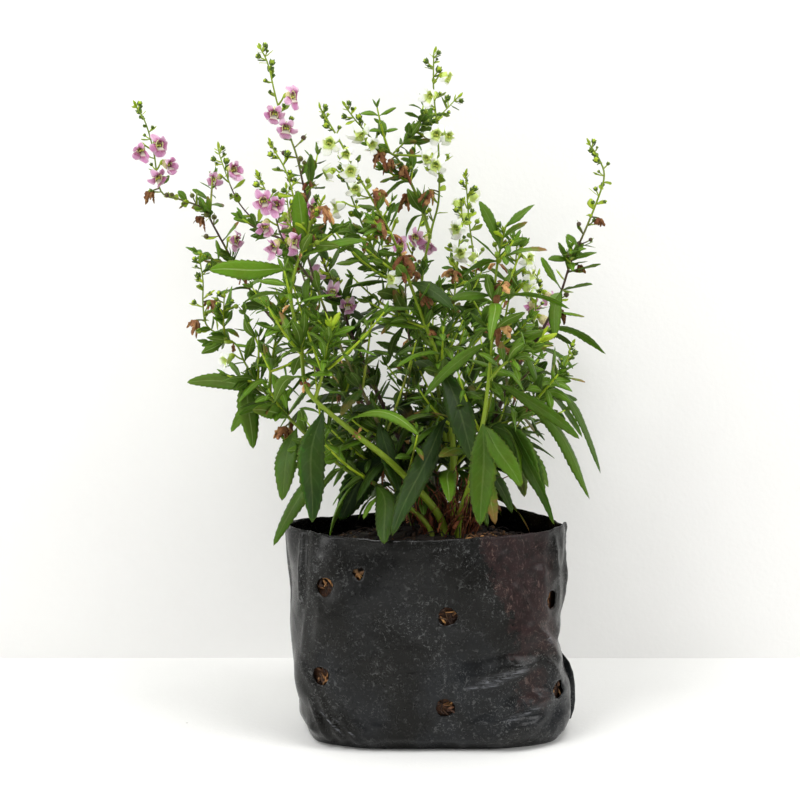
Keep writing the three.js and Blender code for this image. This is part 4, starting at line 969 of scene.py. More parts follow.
def leaf_form(shape, foot, bend, tip, side, wide, trait, key, teeth=0, steps=6):
    """A leaf: a thin blade with a sunken midrib, curved edges and, where it is large, fine teeth."""
    long = np.linalg.norm(tip - foot)
    across_at, under, sides = (LARGE_SECTION if teeth else SMALL_SECTION).T
    if teeth:
        k = np.arange(teeth)[:, None]
        shares = np.concatenate([[0.03, 0.1], (0.15 + 0.82 * (k + (0.12, 0.88)) / teeth).ravel()])
        bite = np.concatenate([[1, 1], np.tile((0.93, 1.05), teeth)])
        half = wide / 2 * leaf_width(shares, 1.28 if long > LONG_LEAF else 1.12) * bite
    else:
        shares = np.linspace(0.05, 0.95, steps)
        half = wide / 2 * leaf_width(shares, 1.05)
    s = shares[:, None]
    sway = side * (long * between(-0.07, 0.07, *key, 90))
    points = bent(foot, bend, tip, shares) + sway * np.sin(np.pi * s) ** 2
    along = units(2 * (bend - foot) * (1 - s) + 2 * (tip - bend) * s)
    across = units(side - along * (along @ side)[:, None])
    twist = (chance(*key, 91) - 0.5) * (1.0 if long > LONG_LEAF else 1.9)
    across, face = spun(across, np.cross(across, along), twist * s)
    fold = BLADE_RIDGE * (0.4 + 2.2 * chance(*key, 92) * (1 if chance(*key, 93) > 0.3 else -0.8))
    ripple = 0.07 * np.sin(2 * np.pi * (2.2 * s + chance(*key, 94)) + np.pi * (across_at > 0))
    rise = -fold * np.abs(across_at) ** 1.4 - 0.05 * (np.abs(across_at) < 0.1) + ripple * across_at**2
    thick = min(0.34, 0.1 + 0.012 * long)
    ahead = rise * half[:, None] - under * thick * np.minimum(1, (1.02 - s) * 4) + 0.25
    rings = points[:, None] + across[:, None] * (half[:, None] * across_at)[..., None]
    rings = rings + face[:, None] * ahead[..., None]
    loft(shape, rings, foot, tip, spots(across_at, shares, sides, (0, 0, 0.5), (0, 1, 0.5)), trait)


def teeth_of(long, step=3.4, fewest=5, most=13):
    return int(np.clip(long / step, fewest, most)) if long > TOOTHED else 0


def grown_leaf(axis, distance, azimuth, tilt, long, droop):
    """Where a leaf goes that leaves its stem at a distance along it: foot, bend, tip and way across."""
    point, along = axis.line.at(distance)
    start = along * math.cos(math.radians(tilt)) + outward(along, azimuth) * math.sin(math.radians(tilt))
    side = unit(np.cross(start, along))
    return axis.smooth.beside(point), point + start * long / 2, point + unit(start - UP * droop) * long, side


def placed_leaf(axis, height, tip, roll, arch):
    """The same for a leaf whose tip is given. With no roll it shows its upper face to the front."""
    foot = axis.line.at(axis.line.at_height(height))[0]
    chord = tip - foot
    long = np.linalg.norm(chord)
    chord = chord / long
    side = turned(unit(np.cross(chord, FRONT)), chord, math.radians(roll))
    return axis.smooth.beside(foot), (foot + tip) / 2 + UP * 2 * arch * long, tip, side


def stands_in(node):
    """A test of whether a point, in millimetres, is a corner of a packed solid."""
    tree = tree_of([corner.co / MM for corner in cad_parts[node].data.vertices])
    return lambda point: tree.find(Vector(point))[2] < SAME_PLACE


def tree_of(places):
    tree = KDTree(max(len(places), 1))
    for i, place in enumerate(places):
        tree.insert(Vector(place), i)
    tree.balance()
    return tree


def grown_stems():
    """Every stem with its lines, its looks and what stands where on its solid."""
    stems = []
    for name, (bloom, purple, bright, spike, shoots) in STEMS.items():
        axes = []
        for row in shoots:
            points = smooth_points(row.path)
            if axes:
                points[0] = axes[0].smooth.beside(points[0])
            axes.append(SimpleNamespace(**vars(row), line=middle_line(row.path), smooth=Line(points)))
        stems.append(SimpleNamespace(
            name=name, seed=len(stems) + 1, bloom=bloom, axes=axes, purple=purple, bright=bright, spike=spike,
            standing=stands_in(name + "_stem"),
        ))
    return stems


def bloom_nodes(name):
    return [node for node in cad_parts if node.startswith(name + "_bloom_")]


def bloom_place(axis, distance, azimuth):
    """A bloom's place: the end of its stalk, its centre, the way it faces and its upward side."""
    point, along = axis.line.at(distance)
    out = outward(along, azimuth)
    end = point + out * 5.5 + along * 4
    facing = unit(out - UP * 0.28 + FRONT * 0.25)
    return facing_place(axis.smooth.beside(point), end, facing, unit(UP - facing * UP.dot(facing)))


def facing_place(foot, end, facing, upward):
    centre = end + facing * (BLOOM_DEPTH + GAP)
    return SimpleNamespace(foot=foot, end=end, facing=facing, upward=upward, centre=centre)


def lobe_corner(place):
    """A corner of the lowest lobe of the solid's bloom."""
    right = np.cross(place.upward, place.facing)
    turn = math.radians(-17)
    flat = place.centre - place.upward * BLOOM_RADIUS * math.cos(turn) + right * BLOOM_RADIUS * math.sin(turn)
    return flat + place.facing * (LOBES[0][1] * BLOOM_RADIUS)


def nodding(place, key):
    """A bloom's place with its face turned somewhat, because each flower hangs in its own way."""
    sideways = np.array([between(-1.15, 1.15, *key, 1), 0, 0])
    down = UP * between(-0.1, 0.45, *key, 3)
    facing = unit(place.facing + FRONT * between(0, 0.4, *key, 2) - down + sideways)
    upward = turned(unit(UP - facing * UP.dot(facing)), facing, between(-0.4, 0.4, *key, 4))
    return facing_place(place.foot, place.end, facing, upward)


def blooms_of(stem):
    """The places of a stem's blooms, each at the turn at which its solid stands."""
    tests = [stands_in(node) for node in bloom_nodes(stem.name)]
    found = []
    for k, axis in enumerate(stem.axes):
        for from_tip, azimuth in axis.blooms:
            places = [bloom_place(axis, axis.line.length - from_tip, azimuth + turn) for turn, _ in TURNS]
            place = next((p for p in places if any(test(lobe_corner(p)) for test in tests)), None)
            if place is not None:
                found.append(nodding(place, (9 * stem.seed + k, len(found))))
                found[-1].axis = k
    return found


def knots_of(axis):
    """Distances along a shoot at which its pairs of leaves stand."""
    first, last, step = axis.leaves[:3]
    return np.arange(first, last + 0.01, step)


def axils(stem, k, kind, places=None):
    """Both sides of each knot of a shoot: distance, share of the leafy length, azimuth and a key."""
    first, last = stem.axes[k].leaves[:2]
    for i, distance in enumerate(knots_of(stem.axes[k]) if places is None else places):
        rise = np.clip((distance - first) / max(last - first, 1), 0, 1)
        for half in (0, 1):
            key = (100 * stem.seed + 10 * k + kind, 2 * i + half)
            yield distance, rise, 40 * k + 90 * i + 180 * half, key


def stalks_form(shape, stem):
    """The trunk and shoots of a stem, swollen a little where leaves stand."""
    for k, axis in enumerate(stem.axes):
        line = axis.smooth
        far = np.linspace(0, line.length, max(8, int(line.length / 2.2)))
        points = np.array([line.at(d)[0] for d in far])
        foot, tip = axis.thick
        slimmer = 0.9 - 0.32 * np.clip(1.5 * far / line.length, 0, 1)
        radii = (foot + (tip - foot) * far / line.length) * slimmer
        for knot in knots_of(axis):
            radii = radii * (1 + 0.16 * np.exp(-(((far - knot) / 1.6) ** 2)))
        tone = (0.5 + 0.3 * (chance(stem.seed, k, 81) - 0.5), stem.purple, 0.0)
        tube(shape, points, radii, 10 if foot > 1.3 else 8, tone, 0.05)


def leaf_tone(stem, *key):
    """A leaf's traits: how bright it is, how old, and a number of its own."""
    bright = np.clip(stem.bright + 0.55 * (chance(*key, 95) - 0.5), 0, 1)
    return bright, chance(*key, 96), chance(*key, 97)


def settled(stem, tips):
    """Which of several tips is the first that is a corner of the stem's solid, or None."""
    return next((i for i, tip in enumerate(tips) if stem.standing(tip)), None)


def large_leaves_form(shape, stem, taken):
    for row, (name, k, height, tip, wide, roll, arch, bright) in enumerate(LARGE_LEAVES):
        tips = [np.array(tip, float) + (0, shift, 0) for shift in SHIFTS]
        found = settled(stem, tips) if name == stem.name else None
        if found is not None:
            foot, bend, tip, side = placed_leaf(stem.axes[k], height, tips[found], roll, arch)
            teeth = teeth_of(np.linalg.norm(tip - foot), 3.6, 6, 15)
            tone = (bright, 0.5, 0.6 * chance(row, 5, 97))
            leaf_form(shape, foot, bend, tip, side, wide, tone, (row, 6), teeth)
            taken.extend(bent(foot, bend, tip, np.linspace(0.3, 1, 6)))


def leaf_pairs_form(shape, stem, taken):
    """The pairs of the solid, by its seeded rule."""
    for k, axis in enumerate(stem.axes):
        low, high = axis.leaves[3:]
        for distance, rise, azimuth, key in axils(stem, k, 0):
            distance += 5 * (chance(*key, 1) - 0.5)
            azimuth += 40 * (chance(*key, 2) - 0.5)
            tilt = 62 - 14 * rise + 16 * (chance(*key, 3) - 0.5)
            long = (low + (high - low) * rise**SHORTENING) * (0.85 + 0.3 * chance(*key, 4))
            droop = (1 - rise) * (0.35 + 0.9 * chance(*key, 5))
            options = [grown_leaf(axis, distance, azimuth + a, tilt + b, long, droop) for a, b in TURNS]
            found = settled(stem, [option[2] for option in options])
            if found is not None:
                option = options[found]
                leaf_form(shape, *option, 2 + 0.19 * long, leaf_tone(stem, *key), key, teeth_of(long))
                taken.extend(bent(*option[:3], np.linspace(0.3, 1, 5)))


class Room:
    """Tells whether a further leaf is clear of all other leaves, the blooms and the bare stems."""

    def __init__(self, places, blooms):
        self.blooms = np.array(blooms)
        self.tree = tree_of(places)
        self.later = []

    def holds(self, points, gap):
        """Whether points are in nobody's way and a gap from everything. If so, they take up room."""
        bare = np.all((points > BARE_FOOT[0]) & (points < BARE_FOOT[1]), axis=1)
        back = self.blooms[:, None] - points
        hidden = (np.abs(back[..., 0]) < BLOOM_VIEW) & (back[..., 1] > 0)
        hidden &= np.abs(back[..., 2] + VIEW_SLOPE * back[..., 1]) < BLOOM_VIEW
        if bare.any() or hidden.any():
            return False
        if any(self.tree.find(Vector(point))[2] < gap for point in points):
            return False
        if self.later and np.linalg.norm(np.array(self.later)[:, None] - points, axis=2).min() < gap:
            return False
        self.later.extend(points)
        return True

    def leaf(self, shape, option, gap, checks, wide, tone, key, teeth=0):
        """Adds a leaf if there is room for it at the checked shares of its length. Says whether there was."""
        points = bent(*option[:3], checks)
        free = within_box(points) and self.holds(points, gap)
        if free:
            leaf_form(shape, *option, wide, tone, key, teeth)
        return free


def within_box(points, margin=2.0):
    low, high = np.array(cad_box) / MM
    return bool(np.all(points > low - margin) and np.all(points < high + margin))


def further_leaves_form(shape, stem, room, density):
    """Pairs between the pairs of the solid, and the small shoots in their axils."""
    for k, axis in enumerate(stem.axes):
        step, low, high = axis.leaves[2:]
        knots = knots_of(axis)
        places = np.concatenate([knots - step / 2, [knots[-1] + step / 2]])
        for distance, rise, azimuth, key in axils(stem, k, 3, places[places > (4 if k else 22)]):
            if chance(*key, 8) > density:
                continue
            long = (low + (high - low) * rise**SHORTENING) * between(0.7, 1.05, *key, 4)
            tilt, droop = between(48, 72, *key, 3), (1 - rise) * between(0.2, 1.2, *key, 5)
            for turn in LEAF_TURNS:
                option = grown_leaf(axis, distance, azimuth + 45 + turn, tilt, long, droop)
                tone, teeth = leaf_tone(stem, *key), teeth_of(long)
                if room.leaf(shape, option, LEAF_GAP, LEAF_CHECKS, 2.2 + 0.2 * long, tone, key, teeth):
                    break
        for distance, rise, azimuth, key in axils(stem, k, 6):
            azimuth += between(-25, 25, *key, 2)
            for part in range(4):
                if chance(*key, 10 + part) > density + 0.15:
                    continue
                long = between(7, 17, *key, 20 + part) * (1.15 - 0.5 * rise)
                tilt, droop = between(22, 50, *key, 30 + part), between(-0.1, 0.3, *key, 40 + part)
                apart = (part - 1.5) * 34
                option = grown_leaf(axis, distance + 1 + 1.5 * part, azimuth + apart, tilt, long, droop)
                own = (key[0], key[1] + 50 * part)
                tone = leaf_tone(stem, *key)
                room.leaf(shape, option, AXIL_GAP, SMALL_CHECKS, 1.5 + 0.22 * long, tone, own)


def side_shoots_form(stalks, leaves, stem, room, density):
    """Short leafy shoots in the axils of the lower leaves, which fill the middle of the plant."""
    for k, axis in enumerate(stem.axes):
        for distance, rise, azimuth, key in axils(stem, k, 9):
            if distance < 16 or chance(*key, 1) > density * (1.15 - 0.75 * rise):
                continue
            azimuth += between(-45, 45, *key, 2)
            long, tilt = between(18, 46, *key, 3) * (1.05 - 0.55 * rise), between(34, 58, *key, 4)
            for turn in SIDE_SHOOT_TURNS:
                foot, bend, tip, _ = grown_leaf(axis, distance, azimuth + turn, tilt, long, 0)
                tip = tip + UP * long * between(0.05, 0.4, *key, 5)
                points = bent(foot, bend, tip, np.linspace(0, 1, 9))
                if within_box(points, -1) and room.holds(points[4:], SIDE_SHOOT_GAP):
                    shoot_form(stalks, leaves, stem, room, points, key)
                    break


def shoot_form(stalks, leaves, stem, room, points, key):
    """One short shoot: its stalk, its pairs of small leaves and the tuft at its tip."""
    line = Line(points)
    axis = SimpleNamespace(line=line, smooth=line)
    tube(stalks, points, np.linspace(0.85, 0.4, len(points)), 6, (0.75, 0.7 * stem.purple, chance(*key, 6)))
    pairs = int(between(3, 6, *key, 7))
    for j in range(2 * pairs):
        share = 0.3 + 0.68 * (j // 2) / pairs
        long = between(9, 21, *key, 20 + j) * (1.15 - 0.75 * share)
        azimuth = 180 * j + 90 * (j // 2) + between(-25, 25, *key, 40 + j)
        tilt, droop = between(42, 66, *key, 60 + j), between(0, 0.5, *key, 80)
        option = grown_leaf(axis, line.length * share, azimuth, tilt, long, droop)
        own = (key[0] + j, key[1])
        bright, *others = leaf_tone(stem, *own)
        tone = (min(1, bright + 0.12), *others)
        room.leaf(leaves, option, TWIG_LEAF_GAP, SMALL_CHECKS, 1.5 + 0.23 * long, tone, own)
    tone = (min(1, stem.bright + 0.15), 0.1, chance(*key, 99))
    for j in range(4):
        tilt, long = between(18, 36, *key, 90 + j), between(4, 8, *key, 95 + j)
        option = grown_leaf(axis, line.length - 0.6, 90 * j + 40, tilt, long, 0)
        wide = 0.32 * np.linalg.norm(option[2] - option[0])
        leaf_form(leaves, *option, wide, tone, (key[0], key[1] + j), 0, 4)


# Sections of a bud, its cup and a seed pod: distance along the axis and radius, as shares of its own radius
BUD_PROFILE = np.array([(0, 0.42), (0.5, 0.9), (1.1, 0.98), (1.7, 0.7), (2.1, 0.3)])
CUP_PROFILE = np.array([(-0.05, 0.5), (0.45, 1.02), (1.0, 1.12)])
POD_PROFILE = np.array([(0, 0.5), (0.3, 0.95), (0.9, 1.1), (1.5, 0.95), (1.9, 0.5), (2.05, 0.16), (2.9, 0.1)])
GOLDEN_TURN = 137.5  # degrees from one bud to the next round the stem


def stalked(shape, foot, way, long, radius, profile, tone, ribs=0.07):
    """A bud or seed pod on its thin stalk."""
    neck = foot + way * long
    curve = bent(foot, foot + way * long * 0.5 - UP * 0.12 * long, neck, np.linspace(0, 1, 5))
    tube(shape, curve, 0.3 + 0.07 * radius, 5, tone)
    way = unit(neck - curve[-2])
    turned_form(shape, neck - way * 0.1, way, profile * radius, 8, tone, ribs)
    if profile is BUD_PROFILE:
        cup = CUP_PROFILE * radius
        turned_form(shape, neck - way * 0.1, way, cup, 10, (0.3 * tone[0], *tone[1:]), 0.06, 0.9 * radius)


def buds_form(shape, stem):
    """Buds that wind up to the tip, as on the solid, and the small leaf below each of them."""
    seed = stem.seed
    for k, axis in enumerate(stem.axes):
        line = axis.line
        for i in range(axis.buds):
            grown = (i + 1) / (axis.buds + 1)
            distance = line.length - 3 - BUD_STEP * i
            long, radius = 2 + 3.6 * grown, 1 + 0.9 * grown
            azimuth = 60 * seed + GOLDEN_TURN * i
            point, along = line.at(distance)
            ways = [unit(outward(along, azimuth + turn) + along * 0.75) for turn, _ in TURNS]
            found = settled(stem, [point + way * (long + 2.3 * radius) for way in ways])
            if found is not None:
                tone = (between(0.55, 1, seed, i, 15), 0.05, chance(seed, i, 5))
                stalked(shape, axis.smooth.beside(point), ways[found], long, radius, BUD_PROFILE, tone)
                under = 4.5 + 2 * grown
                option = grown_leaf(axis, distance - 0.6, azimuth, 62, under, 0.15)
                leaf_form(shape, *option, 0.46 * under, (0.25, 0.1, 0.5), (seed, i + 60), 0, 5)
        leaves, full = (1, 5) if axis.buds else (3, 10)
        for i in range(leaves + 4):
            azimuth = 360 / leaves * i + 50 * chance(100 * seed + k, i, 7) + 67 * (i // leaves)
            late = i >= leaves
            long = full * (between(0.5, 0.85, seed, i, 8) if late else 1)
            distance = line.length - 1.2 - late * between(0, 3, seed, i, 9)
            option = grown_leaf(axis, distance, azimuth, 30 + 14 * late, long, 0)
            leaf_form(shape, *option, 0.36 * long, (0.75, 0.1, chance(seed, i, 6)), (seed, i + 30), 0, 4)


def spike_form(shape, stem, blooms):
    """The flower spike below each tip: small leaves, young buds, and seed pods lower down."""
    for k, axis in enumerate(stem.axes):
        spike = min(stem.spike, 0.62 * axis.line.length) if k else stem.spike
        if not axis.buds or spike < 10:
            continue
        line = axis.line
        own = [bloom for bloom in blooms if bloom.axis == k]
        distance, i = 6.0, 0
        while distance < spike:
            grown = distance / spike
            key = (50 * stem.seed + k, i)
            point, along = line.at(line.length - distance)
            azimuth = GOLDEN_TURN * i + 60 * stem.seed + between(-20, 20, *key, 1)
            out = outward(along, azimuth)
            foot = axis.smooth.beside(point)
            clear = all(np.linalg.norm(bloom.centre - point - out * 7) > 7.5 for bloom in own)
            long = (3 + 5.5 * min(1, 0.3 + 1.6 * grown)) * between(0.8, 1.2, *key, 2)
            tilt = between(50, 75, *key, 3)
            option = grown_leaf(axis, line.length - distance - 0.4, azimuth, tilt, long, 0.1)
            if clear:
                tone = (between(0.3, 0.9, *key, 12), 0.3, chance(*key, 4))
                leaf_form(shape, *option, 0.48 * long, tone, key, 0, 5)
            if clear and chance(*key, 5) < 0.82:
                way = unit(out + along * between(0.45, 1.0, *key, 6))
                if grown < 0.5:
                    radius = (0.7 + 0.9 * grown) * between(0.85, 1.2, *key, 7)
                    tone = (between(0.45, 0.95, *key, 11), 0.1 + 0.2 * stem.purple, chance(*key, 8))
                    stalked(shape, foot, way, 2.2 + 5 * grown, radius, BUD_PROFILE, tone)
                else:
                    radius = between(1.0, 1.5, *key, 7)
                    tone = (0.5, 0.15 + 0.6 * stem.purple, chance(*key, 8))
                    stalked(shape, foot, way, between(4.5, 7, *key, 9), radius, POD_PROFILE, tone, 0.04)
            distance += between(3.0, 4.6, *key, 10) * (0.8 + 0.9 * grown)
            i += 1


def calyx_form(shape, place, key):
    """The stalk behind a bloom and its green cup with five points."""
    back = place.end - place.facing * 1.7
    bend = place.foot + (place.end - place.foot) * 0.6
    curve = bent(place.foot, bend, back, np.linspace(0, 1, 8))
    tube(shape, curve, np.linspace(0.55, 0.4, 8), 7, (0.6, 0.15, 0.5))
    profile = [(0, 0.45), (0.5, 1.1), (1.2, 1.6), (1.9, 1.75), (2.1, 1.5)]
    turned_form(shape, back, place.facing, profile, 20, (0.7, 0.05, chance(*key, 1)), 0.05, 1.5)


PETAL_ACROSS = np.array([1, 0.72, 0.36, 0, -0.36, -0.72, -1, -0.72, -0.36, 0, 0.36, 0.72])
PETAL_UNDER = np.array([0, 1, 1, 1, 1, 1, 0, 0, 0, 0, 0, 0])
# Each lobe's turn from straight down in degrees, and its half width as a share of the bloom's radius
LOBE_TURNS = (0, 68, 147, 213, 292)
LOBE_WIDTHS = (0.44, 0.34, 0.31, 0.31, 0.34)
ROUND_FROM = 0.58  # share of a lobe's length from which its end is round
# The throat's wall from its closed end to the mouth and back inside: distance behind the face and radius
THROAT = [
    (4.75, 0.7), (4.2, 1.5), (2.8, 2.1), (1.2, 2.4), (-0.1, 2.5), (-0.1, 2.1), (1.3, 1.95), (2.6, 1.5),
    (3.0, 0.5),
]
THROAT_PLACES = (0, 0.1, 0.3, 0.6, 0.9, 1, 0.8, 0.5, 0.3)


def petal_form(shape, place, k, size, key, narrow, closing):
    """One lobe of a bloom, narrow at the throat, round at its end, and cupped and rippled in its own way."""
    reach, curl = LOBES[k]
    turn = math.radians(LOBE_TURNS[k] + between(-12, 12, *key, k))
    facing = place.facing
    along = -place.upward * math.cos(turn) + np.cross(place.upward, facing) * math.sin(turn)
    across, upper = spun(np.cross(along, facing), facing, between(-0.55, 0.55, *key, 50 + k))
    shares = np.concatenate([np.linspace(0, 0.75, 7), [0.86, 0.94, 0.985]])
    end = np.sqrt(np.clip(1 - ((shares - ROUND_FROM) / 0.425) ** 2, 0, 1))
    neck = 0.5 + 0.5 * np.sin(np.pi / 2 * shares / ROUND_FROM)
    wide = LOBE_WIDTHS[k] * narrow * between(0.88, 1.08, *key, 60 + k)
    half = size * wide * np.where(shares > ROUND_FROM, end, neck)
    half = half * (1 + 0.06 * np.sin(11 * shares + 6 * chance(*key, 70 + k)))
    lift = closing + between(-0.2, 0.3, *key, 80 + k)
    far = size * (0.2 + (reach * between(0.88, 1.03, *key, 85 + k) - 0.2) * shares * math.cos(lift))
    ahead = -1.1 + 1.5 * np.sin(np.pi / 2 * np.clip(shares / 0.4, 0, 1)) + (curl * size - 0.4) * shares**2
    curled = size * between(0, 0.42, *key, 90 + k)
    ahead = ahead + size * reach * math.sin(lift) * shares**1.3 - curled * shares**3
    if k == 0:
        ahead = ahead + 0.9 * np.exp(-(((shares - 0.16) / 0.1) ** 2))
    s = shares[:, None]
    edge = 6 * chance(*key, 20 + k) + 8 * s
    ripple = 0.75 * np.sin(3 * np.sign(PETAL_ACROSS) + edge) * PETAL_ACROSS**2 * s**1.5
    height = between(-0.15, 0.3, *key, 10 + k) * half[:, None] * PETAL_ACROSS**2 + ripple - 0.22 * PETAL_UNDER
    rings = place.centre + along * far[:, None, None] + facing * ahead[:, None, None]
    rings = rings + across * (half[:, None] * PETAL_ACROSS)[..., None] + upper * height[..., None]
    marks = spots(PETAL_ACROSS, shares, 0, (0, 0, 0), (0, 1, 0))
    loft(shape, rings, place=marks, trait=(chance(*key, 30 + k), k / 4, chance(*key, 31)))


def bloom_form(shape, place, bloom, key):
    """Five lobes round an open throat, with the two bosses inside it. Some blooms are closing already."""
    size = BLOOM_RADIUS * between(0.8, 1.02, *key, 40)
    closing = between(0.35, 0.8, *key, 42) if chance(*key, 41) < 0.3 else between(-0.25, 0.15, *key, 42)
    for k in range(len(LOBES)):
        petal_form(shape, place, k, size, key, 1 if bloom == "pink" else 0.9, closing)
    centre, facing = place.centre, place.facing
    right = np.cross(place.upward, facing)
    turn = whole_turn(14)
    rings = [ring(centre - facing * a, right, place.upward, 0.9 * r, 1.2 * r, turn) for a, r in THROAT]
    marks = spots(turn / (2 * np.pi), THROAT_PLACES, 1, (0.5, 0, 1), (0.5, 0.3, 1))
    loft(shape, rings, place=marks, trait=(chance(*key, 30), 0.5, 0.5))
    for side in (-1, 1):
        knob = centre + right * 0.75 * side - place.upward * 0.5 - facing * 1.7
        turned_form(shape, knob, facing, [(0, 0.3), (0.4, 0.62), (0.9, 0.66), (1.4, 0.3)], 8, (0.9, 0.9, 0.9))
        shape.places[-1] = np.broadcast_to(np.array([0.0, 0.0, 2.0]), shape.points[-1].shape)


def scars_form(shape, stem):
    """Dry scraps that are left at old joints of the thick green stem."""
    for i, height in enumerate(SCARS.get(stem.name, ())):
        line = stem.axes[0].smooth
        point, along = line.at(line.at_height(height))
        for part in range(6):
            key = (i + 3, part)
            out = outward(along, 60 * part + between(-20, 20, *key, 1))
            foot = point + out * 1.4 + along * between(-1.2, 1.2, *key, 2)
            way = unit(along * between(-1, 1, *key, 3) + out * between(0.2, 0.7, *key, 4))
            crumple(shape, foot, way, between(2.6, 5, *key, 5), between(0.5, 0.9, *key, 6), key, 0.1)


def scraps_form(shape, stem):
    """Withered scraps of small leaves and flowers that hang in the axils."""
    for k, axis in enumerate(stem.axes):
        for distance, _, azimuth, key in axils(stem, k, 5):
            if distance < 30 or chance(*key, 1) > SCRAP_SHARE:
                continue
            point, along = axis.line.at(distance - 1)
            out = outward(along, azimuth + between(-50, 50, *key, 2))
            foot = axis.smooth.beside(point) + out
            down = UP * between(0, 0.8, *key, 20)
            for part in range(2):
                way = unit(out * between(0.4, 1.2, *key, 10 + part) + random_way(*key) * 0.4 - down)
                long = between(3.5, 8, *key, 30 + part)
                crumple(shape, foot, way, long, between(0.6, 1.1, *key, 40), (key[0] + part, key[1]), 0.35)


def spent_form(shape, stalk_shape, stem):
    """Spent flowers that hang shrivelled from their stalks."""
    for k, axis in enumerate(stem.axes):
        for i, (from_tip, azimuth) in enumerate(axis.dry):
            point, along = axis.line.at(axis.line.length - from_tip)
            ways = [unit(outward(along, azimuth + turn) + along * 0.3) for turn, _ in TURNS]
            found = settled(stem, [point + way * 6 - UP * 8 for way in ways])
            if found is None:
                continue
            foot = axis.smooth.beside(point)
            key = (30 * stem.seed + 5 * k + i, 7)
            start = point + ways[found] * 4.4 - UP * 0.6
            curve = bent(foot, foot + ways[found] * 3, start, np.linspace(0, 1, 6))
            tube(stalk_shape, curve, 0.42, 6, (0.4, 0.6, 0.5))
            for part in range(7):
                way = unit(ways[found] * 0.35 + random_way(key[0] + part, 8) * (0.9, 0.9, 0.6) - UP * 0.5)
                long = between(5, 12, *key, 50 + part) * (1 - 0.35 * stem.purple)
                wide = between(0.7, 1.7, *key, 60 + part) * (1 - 0.3 * stem.purple)
                crumple(shape, start - way * 0.5, way, long, wide, (key[0] + part, 9), 0.4, 1 - stem.purple)


class Field:
    """A value or a colour that changes over a surface. Fields are added and multiplied as numbers are."""

    def __init__(self, tree, socket):
        self.tree, self.socket = tree, socket

    def __add__(self, other):
        return self.tree.math("ADD", self, other)

    def __radd__(self, other):
        return self.tree.math("ADD", other, self)

    def __sub__(self, other):
        return self.tree.math("SUBTRACT", self, other)

    def __rsub__(self, other):
        return self.tree.math("SUBTRACT", other, self)

    def __mul__(self, other):
        return self.tree.math("MULTIPLY", self, other)

    def __abs__(self):
        return self.tree.math("ABSOLUTE", self)


class Tree:
    """Adds nodes to a material's or a group's tree in few words."""

    def __init__(self, tree):
        self.tree = tree

    def feed(self, socket, value):
        """Links a field to a socket, or sets a plain value there. A plain colour comes without its alpha."""
        if isinstance(value, Field):
            self.tree.links.new(value.socket, socket)
        elif socket.type == "RGBA":
            socket.default_value = (*value, 1.0)
        else:
            socket.default_value = value

    def node(self, kind, inputs=(), **settings):
        made = self.tree.nodes.new("ShaderNode" + kind)
        for name, value in settings.items():
            setattr(made, name, value)
        for name, value in dict(inputs).items():
            self.feed(made.inputs[name], value)
        return made

    def field(self, kind, inputs=(), output=0, **settings):
        return Field(self, self.node(kind, inputs, **settings).outputs[output])

    def math(self, operation, *values, clamp=False):
        return self.field("Math", enumerate(values), operation=operation, use_clamp=clamp)

    def most(self, first, *others):
        for other in others:
            first = self.math("MAXIMUM", first, other)
        return first

    def held(self, value):
        """A value held between 0 and 1."""
        return self.math("ADD", value, 0.0, clamp=True)

    def mix(self, share, a, b):
        return self.field("Mix", {0: share, 6: a, 7: b}, 2, data_type="RGBA")

    def span(self, value, low, high, to_low=0.0, to_high=1.0):
        """A value brought from one range to another, eased and held at its ends."""
        inputs = {"Value": value, "From Min": low, "From Max": high, "To Min": to_low, "To Max": to_high}
        return self.field("MapRange", inputs, interpolation_type="SMOOTHSTEP")

    def noise(self, vector, scale, detail=3.0, roughness=0.55, distortion=0.0, kind="FBM"):
        inputs = {"Vector": vector, "Scale": scale, "Detail": detail, "Roughness": roughness}
        return self.field("TexNoise", {**inputs, "Distortion": distortion}, noise_type=kind)

    def stretched(self, vector, scale):
        return self.field("Mapping", {"Vector": vector, "Scale": scale})

    def distance(self, vector, middle, weights=(1, 1, 1)):
        off = self.field("VectorMath", {0: vector, 1: middle}, operation="SUBTRACT")
        off = self.field("VectorMath", {0: off, 1: weights}, operation="MULTIPLY")
        return self.field("VectorMath", {0: off}, "Value", operation="LENGTH")

    def where(self):
        """Places on the piece in metres."""
        return self.field("TexCoord", output="Object")

    def parts(self, vector):
        """The three numbers of a vector or a colour."""
        return [Field(self, output) for output in self.node("SeparateXYZ", {0: vector}).outputs]

    def mark(self, name):
        """The three numbers that the mesh keeps for each point under a name."""
        settings = {"attribute_name": name, "attribute_type": "GEOMETRY"}
        return self.parts(self.field("Attribute", output="Vector", **settings))

    def cells(self, vector, scale):
        """Scattered cells: the distance from each one's middle, and three numbers of its own."""
        made = self.node("TexVoronoi", {"Vector": vector, "Scale": scale, "Randomness": 1.0})
        return Field(self, made.outputs["Distance"]), self.parts(Field(self, made.outputs["Color"]))

    def bump(self, height, strength, distance, **normal):
        inputs = {"Height": height, "Strength": strength, "Distance": distance, **normal}
        return self.field("Bump", inputs)

    def use(self, group, **inputs):
        """Places a node group with its own values. Returns its outputs in order."""
        named = {name.capitalize(): value for name, value in inputs.items()}
        return [Field(self, output) for output in self.node("Group", named, node_tree=group()).outputs]


